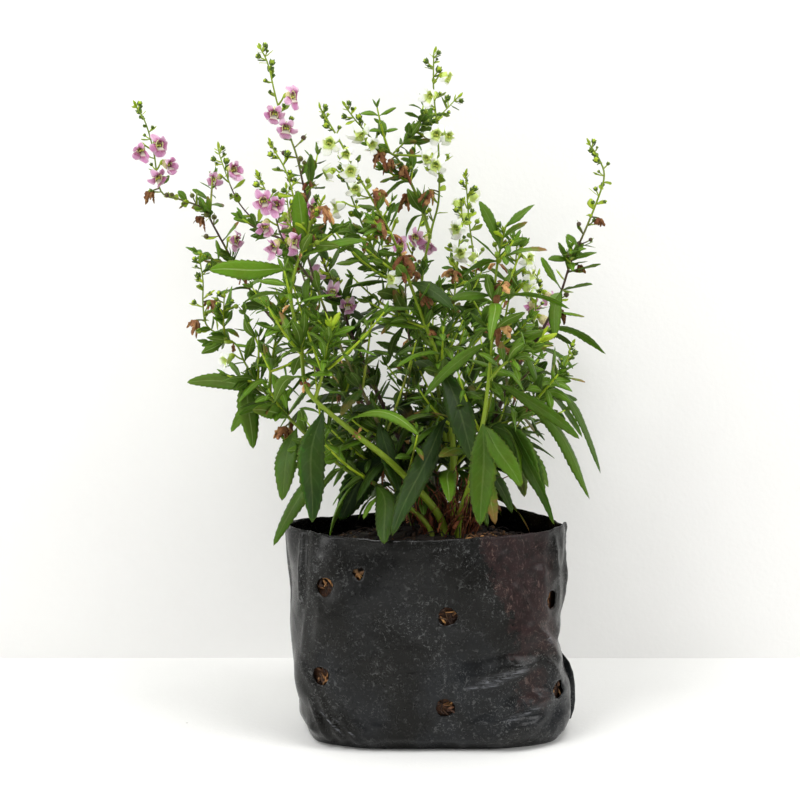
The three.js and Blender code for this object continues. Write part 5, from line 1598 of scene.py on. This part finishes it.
class Look(Tree):
    """A new material and its surface shader."""

    def __init__(self, name):
        self.material = bpy.data.materials.new(name)
        self.material.use_nodes = True
        self.material.node_tree.nodes.clear()
        super().__init__(self.material.node_tree)
        self.shader = self.node("BsdfPrincipled")
        self.output = self.node("OutputMaterial", {0: Field(self, self.shader.outputs[0])})

    def finish(self, colour, roughness, normal, **others):
        self.feed(self.shader.inputs["Base Color"], colour)
        self.feed(self.shader.inputs["Roughness"], roughness)
        self.feed(self.shader.inputs["Normal"], normal)
        for name, value in others.items():
            self.shader.inputs[name.replace("_", " ")].default_value = value
        return self.material


def group_of(inputs, outputs):
    """Makes of a function that adds nodes one that returns their group, which is built the first time."""

    def keep(draw):
        def group():
            if draw.__name__ in bpy.data.node_groups:
                return bpy.data.node_groups[draw.__name__]
            made = bpy.data.node_groups.new(draw.__name__, "ShaderNodeTree")
            for label, value in inputs.items():
                kind = "NodeSocketColor" if isinstance(value, tuple) else "NodeSocketFloat"
                made.interface.new_socket(label, in_out="INPUT", socket_type=kind).default_value = value
            for label in outputs:
                kind = "NodeSocketColor" if label == "Colour" else "NodeSocketFloat"
                made.interface.new_socket(label, in_out="OUTPUT", socket_type=kind)
            tree = Tree(made)
            entry = made.nodes.new("NodeGroupInput").outputs
            given = draw(tree, *(Field(tree, entry[label]) for label in inputs))
            leaving = made.nodes.new("NodeGroupOutput")
            for label, value in zip(outputs, given):
                tree.feed(leaving.inputs[label], value)
            return made

        return group

    return keep


@group_of({"Colour": (0.5, 0.5, 0.5, 1), "Scale": 100.0, "Amount": 0.2}, ["Colour", "Height"])
def uneven_colour(tree, colour, scale, amount):
    """A colour that is a little lighter and darker from place to place, with the height that goes with it."""
    where = tree.where()
    broad = tree.noise(where, scale, 4.0, 0.6)
    fine = tree.noise(where, scale * 5.3, 3.0, 0.6)
    both = broad * 0.65 + fine * 0.35
    value = 1.0 + (both - 0.5) * 4.0 * amount
    hue = 0.5 + (broad - 0.5) * 0.05
    return tree.field("HueSaturation", {"Hue": hue, "Value": value, "Color": colour}), both


@group_of({"Scale": 400.0, "Amount": 0.5}, ["Mask", "Height"])
def dust(tree, scale, amount):
    """Specks and smudges of pale dust, and fine curled scratches."""
    where = tree.where()
    patches = tree.span(tree.noise(where, scale * 0.06, 5.0, 0.65), 0.42, 0.68)
    marks = []
    for fineness, likely in ((0.9, 0.9), (2.0, 0.62), (3.3, 0.42)):
        distance, own = tree.cells(where, scale * fineness)
        wide = own[1] * (0.14 + patches * 0.26)
        rare = tree.span(own[0], likely, likely + 0.08) * (0.35 + own[2])
        marks.append(tree.span(distance, wide, wide * 0.4) * rare)
    curls = []
    for fineness in (0.44, 0.95):
        twist = tree.noise(where, scale * fineness, 1.5, 0.5, 1.4)
        broken = tree.noise(where, scale * fineness * 1.7, 2.0)
        curls.append(tree.span(abs(twist - 0.5), 0.05, 0.015) * tree.span(broken, 0.54, 0.64))
    spread = tree.most(*marks, tree.most(*curls) * 0.7) * (0.3 + patches * 0.8)
    return tree.held((spread + patches * 0.03) * amount), spread


@group_of({"Across": 0.0, "Along": 0.0, "Count": 9.0, "Slant": 0.16}, ["Line", "Midrib"])
def side_veins(tree, across, along, count, slant):
    """Veins that leave the midrib of a leaf or lobe at a slant, and how near a point is to the midrib."""
    off = abs(across)
    wander = tree.noise(tree.where(), 260.0, 1.0) * 0.05
    near = abs(tree.math("FRACT", (along - off * slant + wander) * count) - 0.5)
    return tree.span(near, 0.16, 0.02) * tree.span(off, 1.0, 0.35), tree.span(off, 0.11, 0.03)


# Silvery streaks on the film's front, partly dust and partly painted highlight where its creases catch the
# light: place in x and z, half length and width in metres, and slope
DUST_AND_SHEEN_STREAKS = [
    ((0.040, 0.0415), (0.016, 0.0036), 0.22),
    ((0.050, 0.0200), (0.014, 0.0022), 0.3),
    ((0.030, 0.0370), (0.012, 0.0016), 0.1),
    ((-0.050, 0.0150), (0.008, 0.0012), -0.9),
    ((-0.043, 0.0130), (0.008, 0.0010), -0.8),
    ((0.066, 0.0590), (0.004, 0.0060), -0.6),
]


# How strongly one silvery streak of dust and painted highlight shows at a place on the film's front.
def dust_and_sheen_streak(look, x, z, place, size, slope):
    right = x - place[0]
    up = z - place[1] - right * slope
    return look.span(abs(right), size[0], 0.4 * size[0]) * look.span(abs(up), size[1], 0.0)


def film_material(bag):
    """Black polythene: a half gloss with soft dents, dust, scratches, reddish stains on the right, and
    silvery streaks on the front creases that are partly dust and partly painted highlight.
    """
    look = Look("black_film")
    where = look.where()
    x, y, z = look.parts(where)
    ragged = (look.noise(where, 80.0, 7.0, 0.75, 0.6) - 0.5) * 0.05
    stains = look.span(x + z * 0.36 + ragged, 0.066, 0.07) * look.span(y, -0.02, -0.03)
    stains = stains * look.span(z + ragged, 0.046, 0.058)
    reach = look.distance(where, (0.057, -0.044, 0.033)) + ragged
    stains = look.most(stains, look.span(reach, 0.012, 0.007) * 0.8)
    stains = stains * look.span(look.noise(where, 190.0, 6.0, 0.7, 0.5), 0.36, 0.58, 0.35, 1.0)
    clouds = look.span(look.noise(where, 22.0, 4.0, 0.6, 0.4), 0.4, 0.7) * look.span(z, 0.1, 0.03, 0.35, 1.0)
    colour, _ = look.use(uneven_colour, colour=bag.film_colour, scale=45.0, amount=0.5)
    colour = look.mix(clouds, colour, (0.0105, 0.0118, 0.0135))
    colour = look.mix(stains, colour, bag.stain_colour)
    grazed = look.noise(look.stretched(where, (420, 420, 160)), 1.0, 5.0, 0.75, 1.2)
    colour = look.mix(stains * look.span(grazed, 0.55, 0.68) * 0.5, colour, (0.2, 0.13, 0.11))
    specks, relief = look.use(dust, scale=470.0, amount=bag.dustiness)
    colour = look.mix(specks, colour, look.mix(stains, (0.24, 0.245, 0.24), (0.26, 0.16, 0.12)))
    # Painted highlight, partly dust: silvery streaks along the front creases, broken up by a stretched noise.
    streak_breaks = look.noise(look.stretched(where, (150, 150, 900)), 1.0, 4.0, 0.7, 0.8)
    dust_and_sheen = look.most(*(dust_and_sheen_streak(look, x, z, *row) for row in DUST_AND_SHEEN_STREAKS))
    dust_and_sheen = dust_and_sheen * look.span(streak_breaks, 0.42, 0.66) * look.span(y, -0.03, -0.035)
    colour = look.mix(dust_and_sheen * 0.55, colour, (0.3, 0.31, 0.34))
    clean = 0.14 + look.noise(where, 60.0, 5.0, 0.65) * 0.26 + stains * 0.1
    crumpled = look.noise(look.stretched(where, (1, 1, 1.4)), 55.0, 5.0, 0.5, 0.7, "RIDGED_MULTIFRACTAL")
    folds = look.bump(crumpled, 0.4, 0.0012)
    dents = look.bump(look.noise(where, 240.0, 5.0, 0.65, 0.8), 0.3, 0.0005, Normal=folds)
    normal = look.bump(relief, 0.3, 0.0001, Normal=dents)
    return look.finish(colour, look.held(clean + specks * 0.35), normal, Specular_IOR_Level=0.2)


def coir_material(soil):
    """Reddish brown coir and crumbs of earth, dark where it is damp, with painted shade that makes the soil
    in the bag's mouth nearly black except at its open front.
    """
    look = Look("coir")
    tone, pale, _ = look.mark("trait")
    where = look.where()
    x, y, z = look.parts(where)
    grain = look.noise(where, 520.0, 6.0, 0.7)
    damp = look.span(look.noise(where, 60.0, 3.0), 0.4, 0.62)
    colour = look.mix(look.span(grain + tone * 0.35, 0.5, 1.0) * 0.9, soil.damp_colour, soil.coir_colour)
    colour = look.mix(damp * 0.55, colour, (0.016, 0.008, 0.005))
    colour = look.mix(look.span(pale, 0.55, 0.95) * 0.75, colour, (0.55, 0.27, 0.09))
    # Painted shade: the soil top inside the bag, above the holes, is darkened nearly to black, except where
    # the mouth lies open at the front.
    open_front = look.span(y, -0.026, -0.04) * look.span(x, -0.005, 0.015)
    shaded = look.span(z, 0.092, 0.097) * (1.0 - open_front)
    colour = look.mix(shaded * 0.8, colour, (0.004, 0.003, 0.0025))
    colour, relief = look.use(uneven_colour, colour=colour, scale=300.0, amount=0.4)
    return look.finish(colour, 0.72 + grain * 0.25, look.bump(grain + relief, 0.8, 0.0007))


def stalk_material(plant):
    """Stalks, buds and cups: fresh green to purplish brown, with fine streaks along them."""
    look = Look("green_stalk")
    bright, purple, _ = look.mark("trait")
    _, share, _ = look.mark("place")
    where = look.where()
    green = look.mix(look.span(bright, 0.2, 0.9), plant.stalk_shade, plant.stalk_colour)
    blotch = purple + (look.noise(where, 130.0, 4.0) - 0.5) * 0.9
    dark = look.span(blotch, 0.25, 0.85) * look.span(share, 0.86, 0.74)
    streak = look.noise(look.stretched(where, (900, 900, 90)), 1.0, 3.0)
    colour = look.mix(dark, green, plant.purple_colour)
    colour = look.mix(look.span(streak, 0.52, 0.72) * 0.25, colour, (0.32, 0.38, 0.08))
    colour, _ = look.use(uneven_colour, colour=colour, scale=170.0, amount=0.22)
    return look.finish(
        colour, 0.4 + streak * 0.2, look.bump(streak, 0.3, 0.0003), Specular_IOR_Level=0.3,
        Subsurface_Weight=0.12, Subsurface_Radius=(0.5, 1.0, 0.2), Subsurface_Scale=0.001,
    )


def leaf_material(plant):
    """Leaves: dark green to fresh green, with a pale midrib, slanting veins and a duller underside; painted
    shade darkens them towards the plant's middle, and some dark ones carry a painted blue-grey reflection of
    the sky.
    """
    look = Look("leaf")
    across, along, upper = look.mark("place")
    bright, age, own = look.mark("trait")
    where = look.where()
    # Leaves are lighter higher up. Painted shade: nearer the plant's middle, where shade falls among them,
    # they are darker, and further out they are lighter.
    higher = (look.parts(where)[2] - 0.19) * 1.9
    patchy = (look.noise(where, 24.0, 2.0) - 0.5) * 0.4
    outer = (look.distance(where, (0.002, 0.01, 0), (1, 1, 0)) - 0.04) * 4.5
    # A leaf's brightness: its own, its height, random patches and the painted shade towards the middle.
    fresh = bright + higher + (patchy + outer)
    colour = look.mix(look.span(fresh, 0.05, 1.0), plant.leaf_shade, plant.leaf_colour)
    # Painted reflection: some of the darker leaves are tinted blue-grey, as a gloss that reflects the sky
    # would show.
    painted_sky_reflection = look.span(own, 0.6, 1.0) * look.span(bright, 0.7, 0.2, 0.0, 0.7)
    colour = look.mix(painted_sky_reflection, colour, (0.018, 0.044, 0.0105))
    line, midrib = look.use(side_veins, across=across, along=along, count=8.0, slant=0.17)
    colour = look.mix(line * 0.05, colour, look.mix(0.5, colour, plant.rib_colour))
    colour = look.mix(1.0 - upper, colour, look.mix(0.45, colour, (0.09, 0.13, 0.03)))
    shows = look.span(bright, 0.35, 0.95, 0.12, 0.9) + look.span(upper, 0.6, 0.1, 0.0, 0.35)
    colour = look.mix(look.held(midrib * shows), colour, look.mix(0.35, plant.rib_colour, colour))
    old = look.span(age, 0.86, 0.97) * look.span(along + look.noise(where, 300.0, 3.0), 1.05, 1.5)
    colour = look.mix(old, colour, (0.22, 0.11, 0.035))
    colour, _ = look.use(uneven_colour, colour=colour, scale=120.0, amount=0.2)
    grain = look.noise(where, 900.0, 2.0)
    relief = line * -0.5 + grain * 0.5 - midrib
    return look.finish(
        colour, look.span(upper, 0.0, 1.0, 0.6, 0.4) + grain * 0.14, look.bump(relief, 0.3, 0.0003),
        Specular_IOR_Level=0.15, Subsurface_Weight=0.1, Subsurface_Radius=(0.45, 1.0, 0.15),
        Subsurface_Scale=0.0012,
    )


def petal_material(name, petal, deep, throat, patch, spotted):
    """Petals: a soft colour that deepens in the veins and towards the throat, which is pale and spotted."""
    look = Look(name)
    across, along, part = look.mark("place")
    tone, lobe, _ = look.mark("trait")
    where = look.where()
    rim = look.span(abs(across), 0.35, 1.0, 0.0, 0.45)
    pale = (tone * 0.5 + rim) * look.span(along, 0.1, 0.7)
    colour = look.mix(pale, petal, (0.86, 0.64, 0.77) if spotted else (0.95, 0.96, 0.92))
    line, _ = look.use(side_veins, across=across, along=along, count=3.0, slant=0.9)
    streaks = look.noise(where, 900.0, 3.0) * look.span(along, 0.9, 0.2)
    colour = look.mix(look.held((line + streaks) * 0.35), colour, deep)
    blotch = (look.noise(where, 700.0, 2.0) - 0.5) * 0.9
    colour = look.mix(look.span(along + blotch, 0.56, 0.2) * (0.85 * spotted), colour, deep)
    lowest = look.span(lobe, 0.12, 0.02) * 0.7
    colour = look.mix(look.span(along, 0.36, 0.18) * lowest, colour, patch)
    colour = look.mix(look.span(along, 0.5, 0.2) * (1.0 - spotted), colour, throat)
    cell, _ = look.cells(where, 1100.0)
    dots = look.span(cell, 0.34, 0.2) * (0.6 * spotted + 0.1)
    colour = look.mix(look.span(part, 0.4, 0.6), colour, look.mix(dots, throat, deep))
    colour = look.mix(look.span(part, 1.4, 1.6), colour, (0.55, 0.6, 0.1))
    colour, _ = look.use(uneven_colour, colour=colour, scale=260.0, amount=0.1)
    grain = look.noise(where, 1500.0, 2.0)
    return look.finish(
        colour, 0.5 + grain * 0.2, look.bump(grain + line, 0.25, 0.0002),
        Subsurface_Weight=0.4, Subsurface_Radius=(1.0, 0.8, 0.9), Subsurface_Scale=0.0012,
    )


def dry_material(name, pale, shade):
    """Dead flowers, leaves and stalks: tan to reddish brown, darker in their folds."""
    look = Look(name)
    tone, red, _ = look.mark("trait")
    mottle = look.noise(look.where(), 420.0, 5.0, 0.65)
    colour = look.mix(look.span(mottle + (tone - 0.5) * 0.5, 0.3, 0.75), shade, pale)
    colour = look.mix(look.span(red, 0.35, 0.9) * 0.7, colour, (0.17, 0.032, 0.008))
    colour, relief = look.use(uneven_colour, colour=colour, scale=340.0, amount=0.3)
    return look.finish(colour, 0.62 + mottle * 0.3, look.bump(mottle + relief, 0.6, 0.0006))


def plaster_look(name, colour, speck):
    """The pale floor and wall, with faint specks."""
    look = Look(name)
    where = look.where()
    colour, _ = look.use(uneven_colour, colour=colour, scale=9.0, amount=0.012)
    distance, own = look.cells(where, 46.0)
    specks = look.span(distance, 0.035, 0.015) * look.span(own[0], 0.9, 0.95)
    grain = look.noise(where, 320.0, 4.0)
    colour = look.mix(specks * speck, colour, (0.35, 0.33, 0.3))
    look.finish(colour, 0.7 + grain * 0.2, look.bump(grain, 0.25, 0.0006))
    return look


def shown_from_the_front(look):
    """Lets what is behind a backdrop be seen from its back."""
    behind = look.field("NewGeometry", output="Backfacing")
    plain = Field(look, look.shader.outputs[0])
    both = look.field("MixShader", {0: behind, 1: plain, 2: look.field("BsdfTransparent")})
    look.feed(look.output.inputs[0], both)


# The camera's place in metres, then its focal length and the picture's width in pixels
CAMERA_PLACE = (-0.014, -1.0, 0.3206)
FOCAL_LENGTH = 1891
PICTURE_WIDTH = 800
SENSOR_WIDTH = 36  # in millimetres
PLANT_MIDDLE = (0, 0, 0.18)  # what the lights are aimed at
FLOOR_REACH = 6  # how far the floor goes to each side
WALL_HEIGHT = 5


def colour_property(name, description, default):
    limits = {"subtype": "COLOR", "min": 0, "max": 1}
    return FloatVectorProperty(name=name, description=description, default=default, **limits)


class AngeloniaBag(bpy.types.PropertyGroup):
    """Sizes and colours of the bag and its soil."""

    wrinkle_depth: FloatProperty(
        name="Wrinkles", description="How deep the film's dents and creases are", default=1.0, min=0, max=1.5
    )
    dustiness: FloatProperty(name="Dust", description="How dusty the film is", default=0.45, min=0, max=1)
    film_colour: colour_property("Film", "Colour of the clean film", (0.0035, 0.0033, 0.0025))
    stain_colour: colour_property("Stain", "Colour of the stains on the film", (0.017, 0.0068, 0.007))
    soil_lumps: FloatProperty(
        name="Lumps", description="How lumpy the soil's top is", default=1.0, min=0, max=2
    )
    crumbs: IntProperty(
        name="Crumbs", description="How many crumbs lie on the soil", default=420, min=0, max=1500
    )
    damp_colour: colour_property("Damp soil", "Colour of damp soil", (0.022, 0.009, 0.005))
    coir_colour: colour_property("Coir", "Colour of dry coir", (0.2, 0.082, 0.03))


class AngeloniaPlant(bpy.types.PropertyGroup):
    """How full the plant is, and the colours of its green and dead parts."""

    density: FloatProperty(
        name="Leafiness", description="Share of the further leaves that are shown", default=0.95, min=0, max=1
    )
    dead_shoots: IntProperty(
        name="Dead shoots", description="Dry shoots among the stems", default=96, min=0, max=150
    )
    leaf_colour: colour_property("Fresh leaf", "Colour of the brightest leaves", (0.1, 0.2, 0.009))
    leaf_shade: colour_property("Dark leaf", "Colour of the darkest leaves", (0.0085, 0.024, 0.0032))
    rib_colour: colour_property("Midrib", "Colour of the midribs", (0.3, 0.4, 0.13))
    stalk_colour: colour_property("Fresh stalk", "Colour of the brightest stalks", (0.38, 0.51, 0.018))
    stalk_shade: colour_property("Dark stalk", "Colour of the darkest green stalks", (0.045, 0.095, 0.008))
    purple_colour: colour_property("Purple stalk", "Stalks of pink flowers", (0.07, 0.034, 0.03))
    dead_colour: colour_property("Dead shoot", "Lighter colour of dead shoots", (0.36, 0.13, 0.035))
    dead_shade: colour_property("Dead fold", "Darker colour of dead shoots", (0.026, 0.007, 0.0035))
    spent_colour: colour_property("Spent flower", "Lighter colour of spent flowers", (0.8, 0.46, 0.17))
    spent_shade: colour_property("Spent fold", "Darker colour of spent flowers", (0.19, 0.075, 0.02))


class AngeloniaFlowers(bpy.types.PropertyGroup):
    """Colours of the two kinds of flower."""

    pink: colour_property("Pink", "Colour of the pink petals", (0.49, 0.18, 0.375))
    pink_deep: colour_property("Pink veins", "Colour in the veins and round the throat", (0.26, 0.035, 0.11))
    pink_throat: colour_property("Pink throat", "Colour in the throat", (0.62, 0.56, 0.28))
    pink_patch: colour_property("Pale patch", "Patch on the lowest lobe", (0.82, 0.78, 0.62))
    white: colour_property("White", "Colour of the white petals", (0.94, 0.95, 0.88))
    white_deep: colour_property("White veins", "Colour in the veins of the white petals", (0.8, 0.82, 0.52))
    white_throat: colour_property("White throat", "Throat of the white flowers", (0.56, 0.7, 0.16))


class AngeloniaStage(bpy.types.PropertyGroup):
    """The room and its lights."""

    wall_place: FloatProperty(
        name="Wall", description="How far behind the bag's middle the wall is", default=0.135, unit="LENGTH"
    )
    floor_colour: colour_property("Floor", "Colour of the floor", (0.84, 0.84, 0.825))
    wall_colour: colour_property("Wall colour", "Colour of the wall", (0.9, 0.895, 0.88))
    daylight: FloatProperty(
        name="Daylight", description="Strength of the light from all round", default=0.32, min=0
    )
    key_power: FloatProperty(
        name="Main light", description="Power of the main light", default=16.5, min=0, unit="POWER"
    )
    fill_power: FloatProperty(
        name="Fill light", description="Power of the fill light", default=9.5, min=0, unit="POWER"
    )


class ANGELONIA_OT_stage(bpy.types.Operator):
    """Sets up the camera, the soft lights, the floor and the wall"""

    bl_idname = "angelonia.stage"
    bl_label = "Stage"

    def execute(self, context):
        stage = context.scene.angelonia_stage
        context.scene.view_settings.view_transform = "Standard"
        self.camera(context)
        self.lights(context, stage)
        self.room(context, stage)
        return {"FINISHED"}

    def camera(self, context):
        """A camera a metre in front of the plant, which looks down on it."""
        lens = bpy.data.cameras.new("camera")
        lens.sensor_width = SENSOR_WIDTH
        lens.lens = SENSOR_WIDTH * FOCAL_LENGTH / PICTURE_WIDTH
        held = bpy.data.objects.new("camera", lens)
        held.location = CAMERA_PLACE
        held.rotation_euler = (math.radians(90 - LOOK_DOWN), 0, 0)
        context.scene.collection.objects.link(held)
        context.scene.camera = held

    def lights(self, context, stage):
        world = bpy.data.worlds.new("daylight")
        world.use_nodes = True
        sky = world.node_tree.nodes["Background"].inputs
        sky["Color"].default_value = (1.0, 0.995, 0.98, 1)
        sky["Strength"].default_value = stage.daylight
        context.scene.world = world
        # Name, place, power and size
        lamps = [
            ("main_light", (-0.75, -0.8, 1.6), stage.key_power, 0.6),
            ("fill_light", (1.3, -0.7, 0.9), stage.fill_power, 0.7),
            ("top_light", (0.35, -0.3, 1.6), 0.5 * stage.key_power, 0.6),
            ("side_light", (-1.2, -0.4, 0.5), 0.25 * stage.key_power, 0.5),
        ]
        for name, place, power, size in lamps:
            lamp = bpy.data.lights.new(name, "AREA")
            lamp.energy = power
            lamp.size = size
            held = bpy.data.objects.new(name, lamp)
            held.location = place
            aim = Vector(PLANT_MIDDLE) - Vector(place)
            held.rotation_euler = aim.to_track_quat("-Z", "Y").to_euler()
            context.scene.collection.objects.link(held)

    def room(self, context, stage):
        wide, high, far = FLOOR_REACH, WALL_HEIGHT, stage.wall_place
        floor = plaster_look("floor", stage.floor_colour, 0.8)
        corners = [(-wide, -wide, 0), (wide, -wide, 0), (wide, wide, 0), (-wide, wide, 0)]
        self.panel(context, "floor", floor.material, corners)
        wall = plaster_look("wall", stage.wall_colour, 0.0)
        shown_from_the_front(wall)
        corners = [(-wide, far, 0), (wide, far, 0), (wide, far, high), (-wide, far, high)]
        self.panel(context, "wall", wall.material, corners)

    def panel(self, context, name, material, corners):
        mesh = bpy.data.meshes.new(name)
        mesh.from_pydata(corners, [], [(0, 1, 2, 3)])
        mesh.materials.append(material)
        made = bpy.data.objects.new(name, mesh)
        context.scene.collection.objects.link(made)


class ANGELONIA_OT_bag(bpy.types.Operator):
    """Builds the black film bag with its creases, punched holes and loose seam"""

    bl_idname = "angelonia.bag"
    bl_label = "Film bag"

    def execute(self, context):
        bag = context.scene.angelonia_bag
        shape = Shape()
        bag_form(shape, bag.wrinkle_depth)
        install(shape.build("film_bag", film_material(bag)), "film", "grow_bag")
        return {"FINISHED"}


class ANGELONIA_OT_soil(bpy.types.Operator):
    """Builds the root ball, and the crumbs and shreds of coir on it"""

    bl_idname = "angelonia.soil"
    bl_label = "Soil"

    def execute(self, context):
        bag = context.scene.angelonia_bag
        material = coir_material(bag)
        ball, crumbs = Shape(), Shape()
        soil_form(ball, bag.soil_lumps)
        crumbs_form(crumbs, bag.crumbs)
        install(ball.build("root_ball", material), "soil", "soil")
        install(crumbs.build("coir_crumbs", material), "soil")
        return {"FINISHED"}


class ANGELONIA_OT_dead_growth(bpy.types.Operator):
    """Builds the stump with its dry stalks, and the dead shoots among the stems"""

    bl_idname = "angelonia.dead_growth"
    bl_label = "Dry stalks"

    def execute(self, context):
        plant = context.scene.angelonia_plant
        shape = Shape()
        dry_tuft_form(shape, plant.dead_shoots)
        made = shape.build("dead_growth", dry_material("dead_shoots", plant.dead_colour, plant.dead_shade))
        install(made, "dry_stalk", "dry_stalks")
        return {"FINISHED"}


class ANGELONIA_OT_stems(bpy.types.Operator):
    """Builds the leafy stems: stalks, buds and flower cups, leaves, and spent flowers"""

    bl_idname = "angelonia.stems"
    bl_label = "Leafy stems"

    def execute(self, context):
        plant = context.scene.angelonia_plant
        stalk, leaf = stalk_material(plant), leaf_material(plant)
        dry = dry_material("spent_flowers", plant.spent_colour, plant.spent_shade)
        stems = grown_stems()
        taken, blooms = [], []
        leaves = {stem.name: Shape() for stem in stems}
        for stem in stems:
            large_leaves_form(leaves[stem.name], stem, taken)
            leaf_pairs_form(leaves[stem.name], stem, taken)
            blooms.extend(bloom.centre for bloom in blooms_of(stem))
        room = Room(taken + blooms, blooms)
        for stem in stems:
            name = stem.name
            node = name + "_stem"
            stalks, spent = Shape(), Shape()
            own_blooms = blooms_of(stem)
            stalks_form(stalks, stem)
            buds_form(stalks, stem)
            spike_form(stalks, stem, own_blooms)
            for i, place in enumerate(own_blooms):
                calyx_form(stalks, place, (stem.seed, i))
            spent_form(spent, stalks, stem)
            scars_form(spent, stem)
            scraps_form(spent, stem)
            further_leaves_form(leaves[name], stem, room, plant.density)
            side_shoots_form(stalks, leaves[name], stem, room, plant.density)
            install(stalks.build(name + "_stalks", stalk), "green", node)
            install(leaves[name].build(name + "_leaves", leaf), "green", node)
            if spent.count:
                install(spent.build(name + "_spent_flowers", dry), "dry_stalk", node)
        return {"FINISHED"}


class ANGELONIA_OT_blooms(bpy.types.Operator):
    """Builds the open pink and white flowers"""

    bl_idname = "angelonia.blooms"
    bl_label = "Blooms"

    def execute(self, context):
        flowers = context.scene.angelonia_flowers
        pinks = (flowers.pink, flowers.pink_deep, flowers.pink_throat, flowers.pink_patch)
        whites = (flowers.white, flowers.white_deep, flowers.white_throat, flowers.white)
        petals = {
            "pink": petal_material("pink_petal", *pinks, 1.0),
            "white": petal_material("white_petal", *whites, 0.0),
        }
        for stem in grown_stems():
            blooms = blooms_of(stem)
            if not blooms:
                continue
            shape = Shape()
            for i, place in enumerate(blooms):
                bloom_form(shape, place, stem.bloom, (20 * stem.seed, i))
            made = shape.build(stem.name + "_blooms", petals[stem.bloom])
            install(made, stem.bloom + "_petal", *bloom_nodes(stem.name))
        return {"FINISHED"}


STEPS = (
    ANGELONIA_OT_stage,
    ANGELONIA_OT_bag,
    ANGELONIA_OT_soil,
    ANGELONIA_OT_dead_growth,
    ANGELONIA_OT_stems,
    ANGELONIA_OT_blooms,
)
SETTINGS = {
    "angelonia_bag": AngeloniaBag,
    "angelonia_plant": AngeloniaPlant,
    "angelonia_flowers": AngeloniaFlowers,
    "angelonia_stage": AngeloniaStage,
}


class ANGELONIA_PT_panel(bpy.types.Panel):
    """Lists the settings and the steps in the sidebar"""

    bl_label = "Potted angelonia"
    bl_idname = "ANGELONIA_PT_panel"
    bl_space_type = "VIEW_3D"
    bl_region_type = "UI"
    bl_category = "Angelonia"

    def draw(self, context):
        for step in STEPS:
            self.layout.operator(step.bl_idname)
        for name, group in SETTINGS.items():
            box = self.layout.box()
            box.label(text=group.__doc__)
            for label in group.__annotations__:
                box.prop(getattr(context.scene, name), label)


def register():
    for kind in (*SETTINGS.values(), *STEPS, ANGELONIA_PT_panel):
        bpy.utils.register_class(kind)
    for name, group in SETTINGS.items():
        setattr(bpy.types.Scene, name, PointerProperty(type=group))


def unregister():
    for name in SETTINGS:
        delattr(bpy.types.Scene, name)
    for kind in reversed((*SETTINGS.values(), *STEPS, ANGELONIA_PT_panel)):
        bpy.utils.unregister_class(kind)


def main():
    register()
    bpy.ops.angelonia.stage()
    bpy.ops.angelonia.bag()
    bpy.ops.angelonia.soil()
    bpy.ops.angelonia.dead_growth()
    bpy.ops.angelonia.stems()
    bpy.ops.angelonia.blooms()


if __name__ == "__main__":
    main()
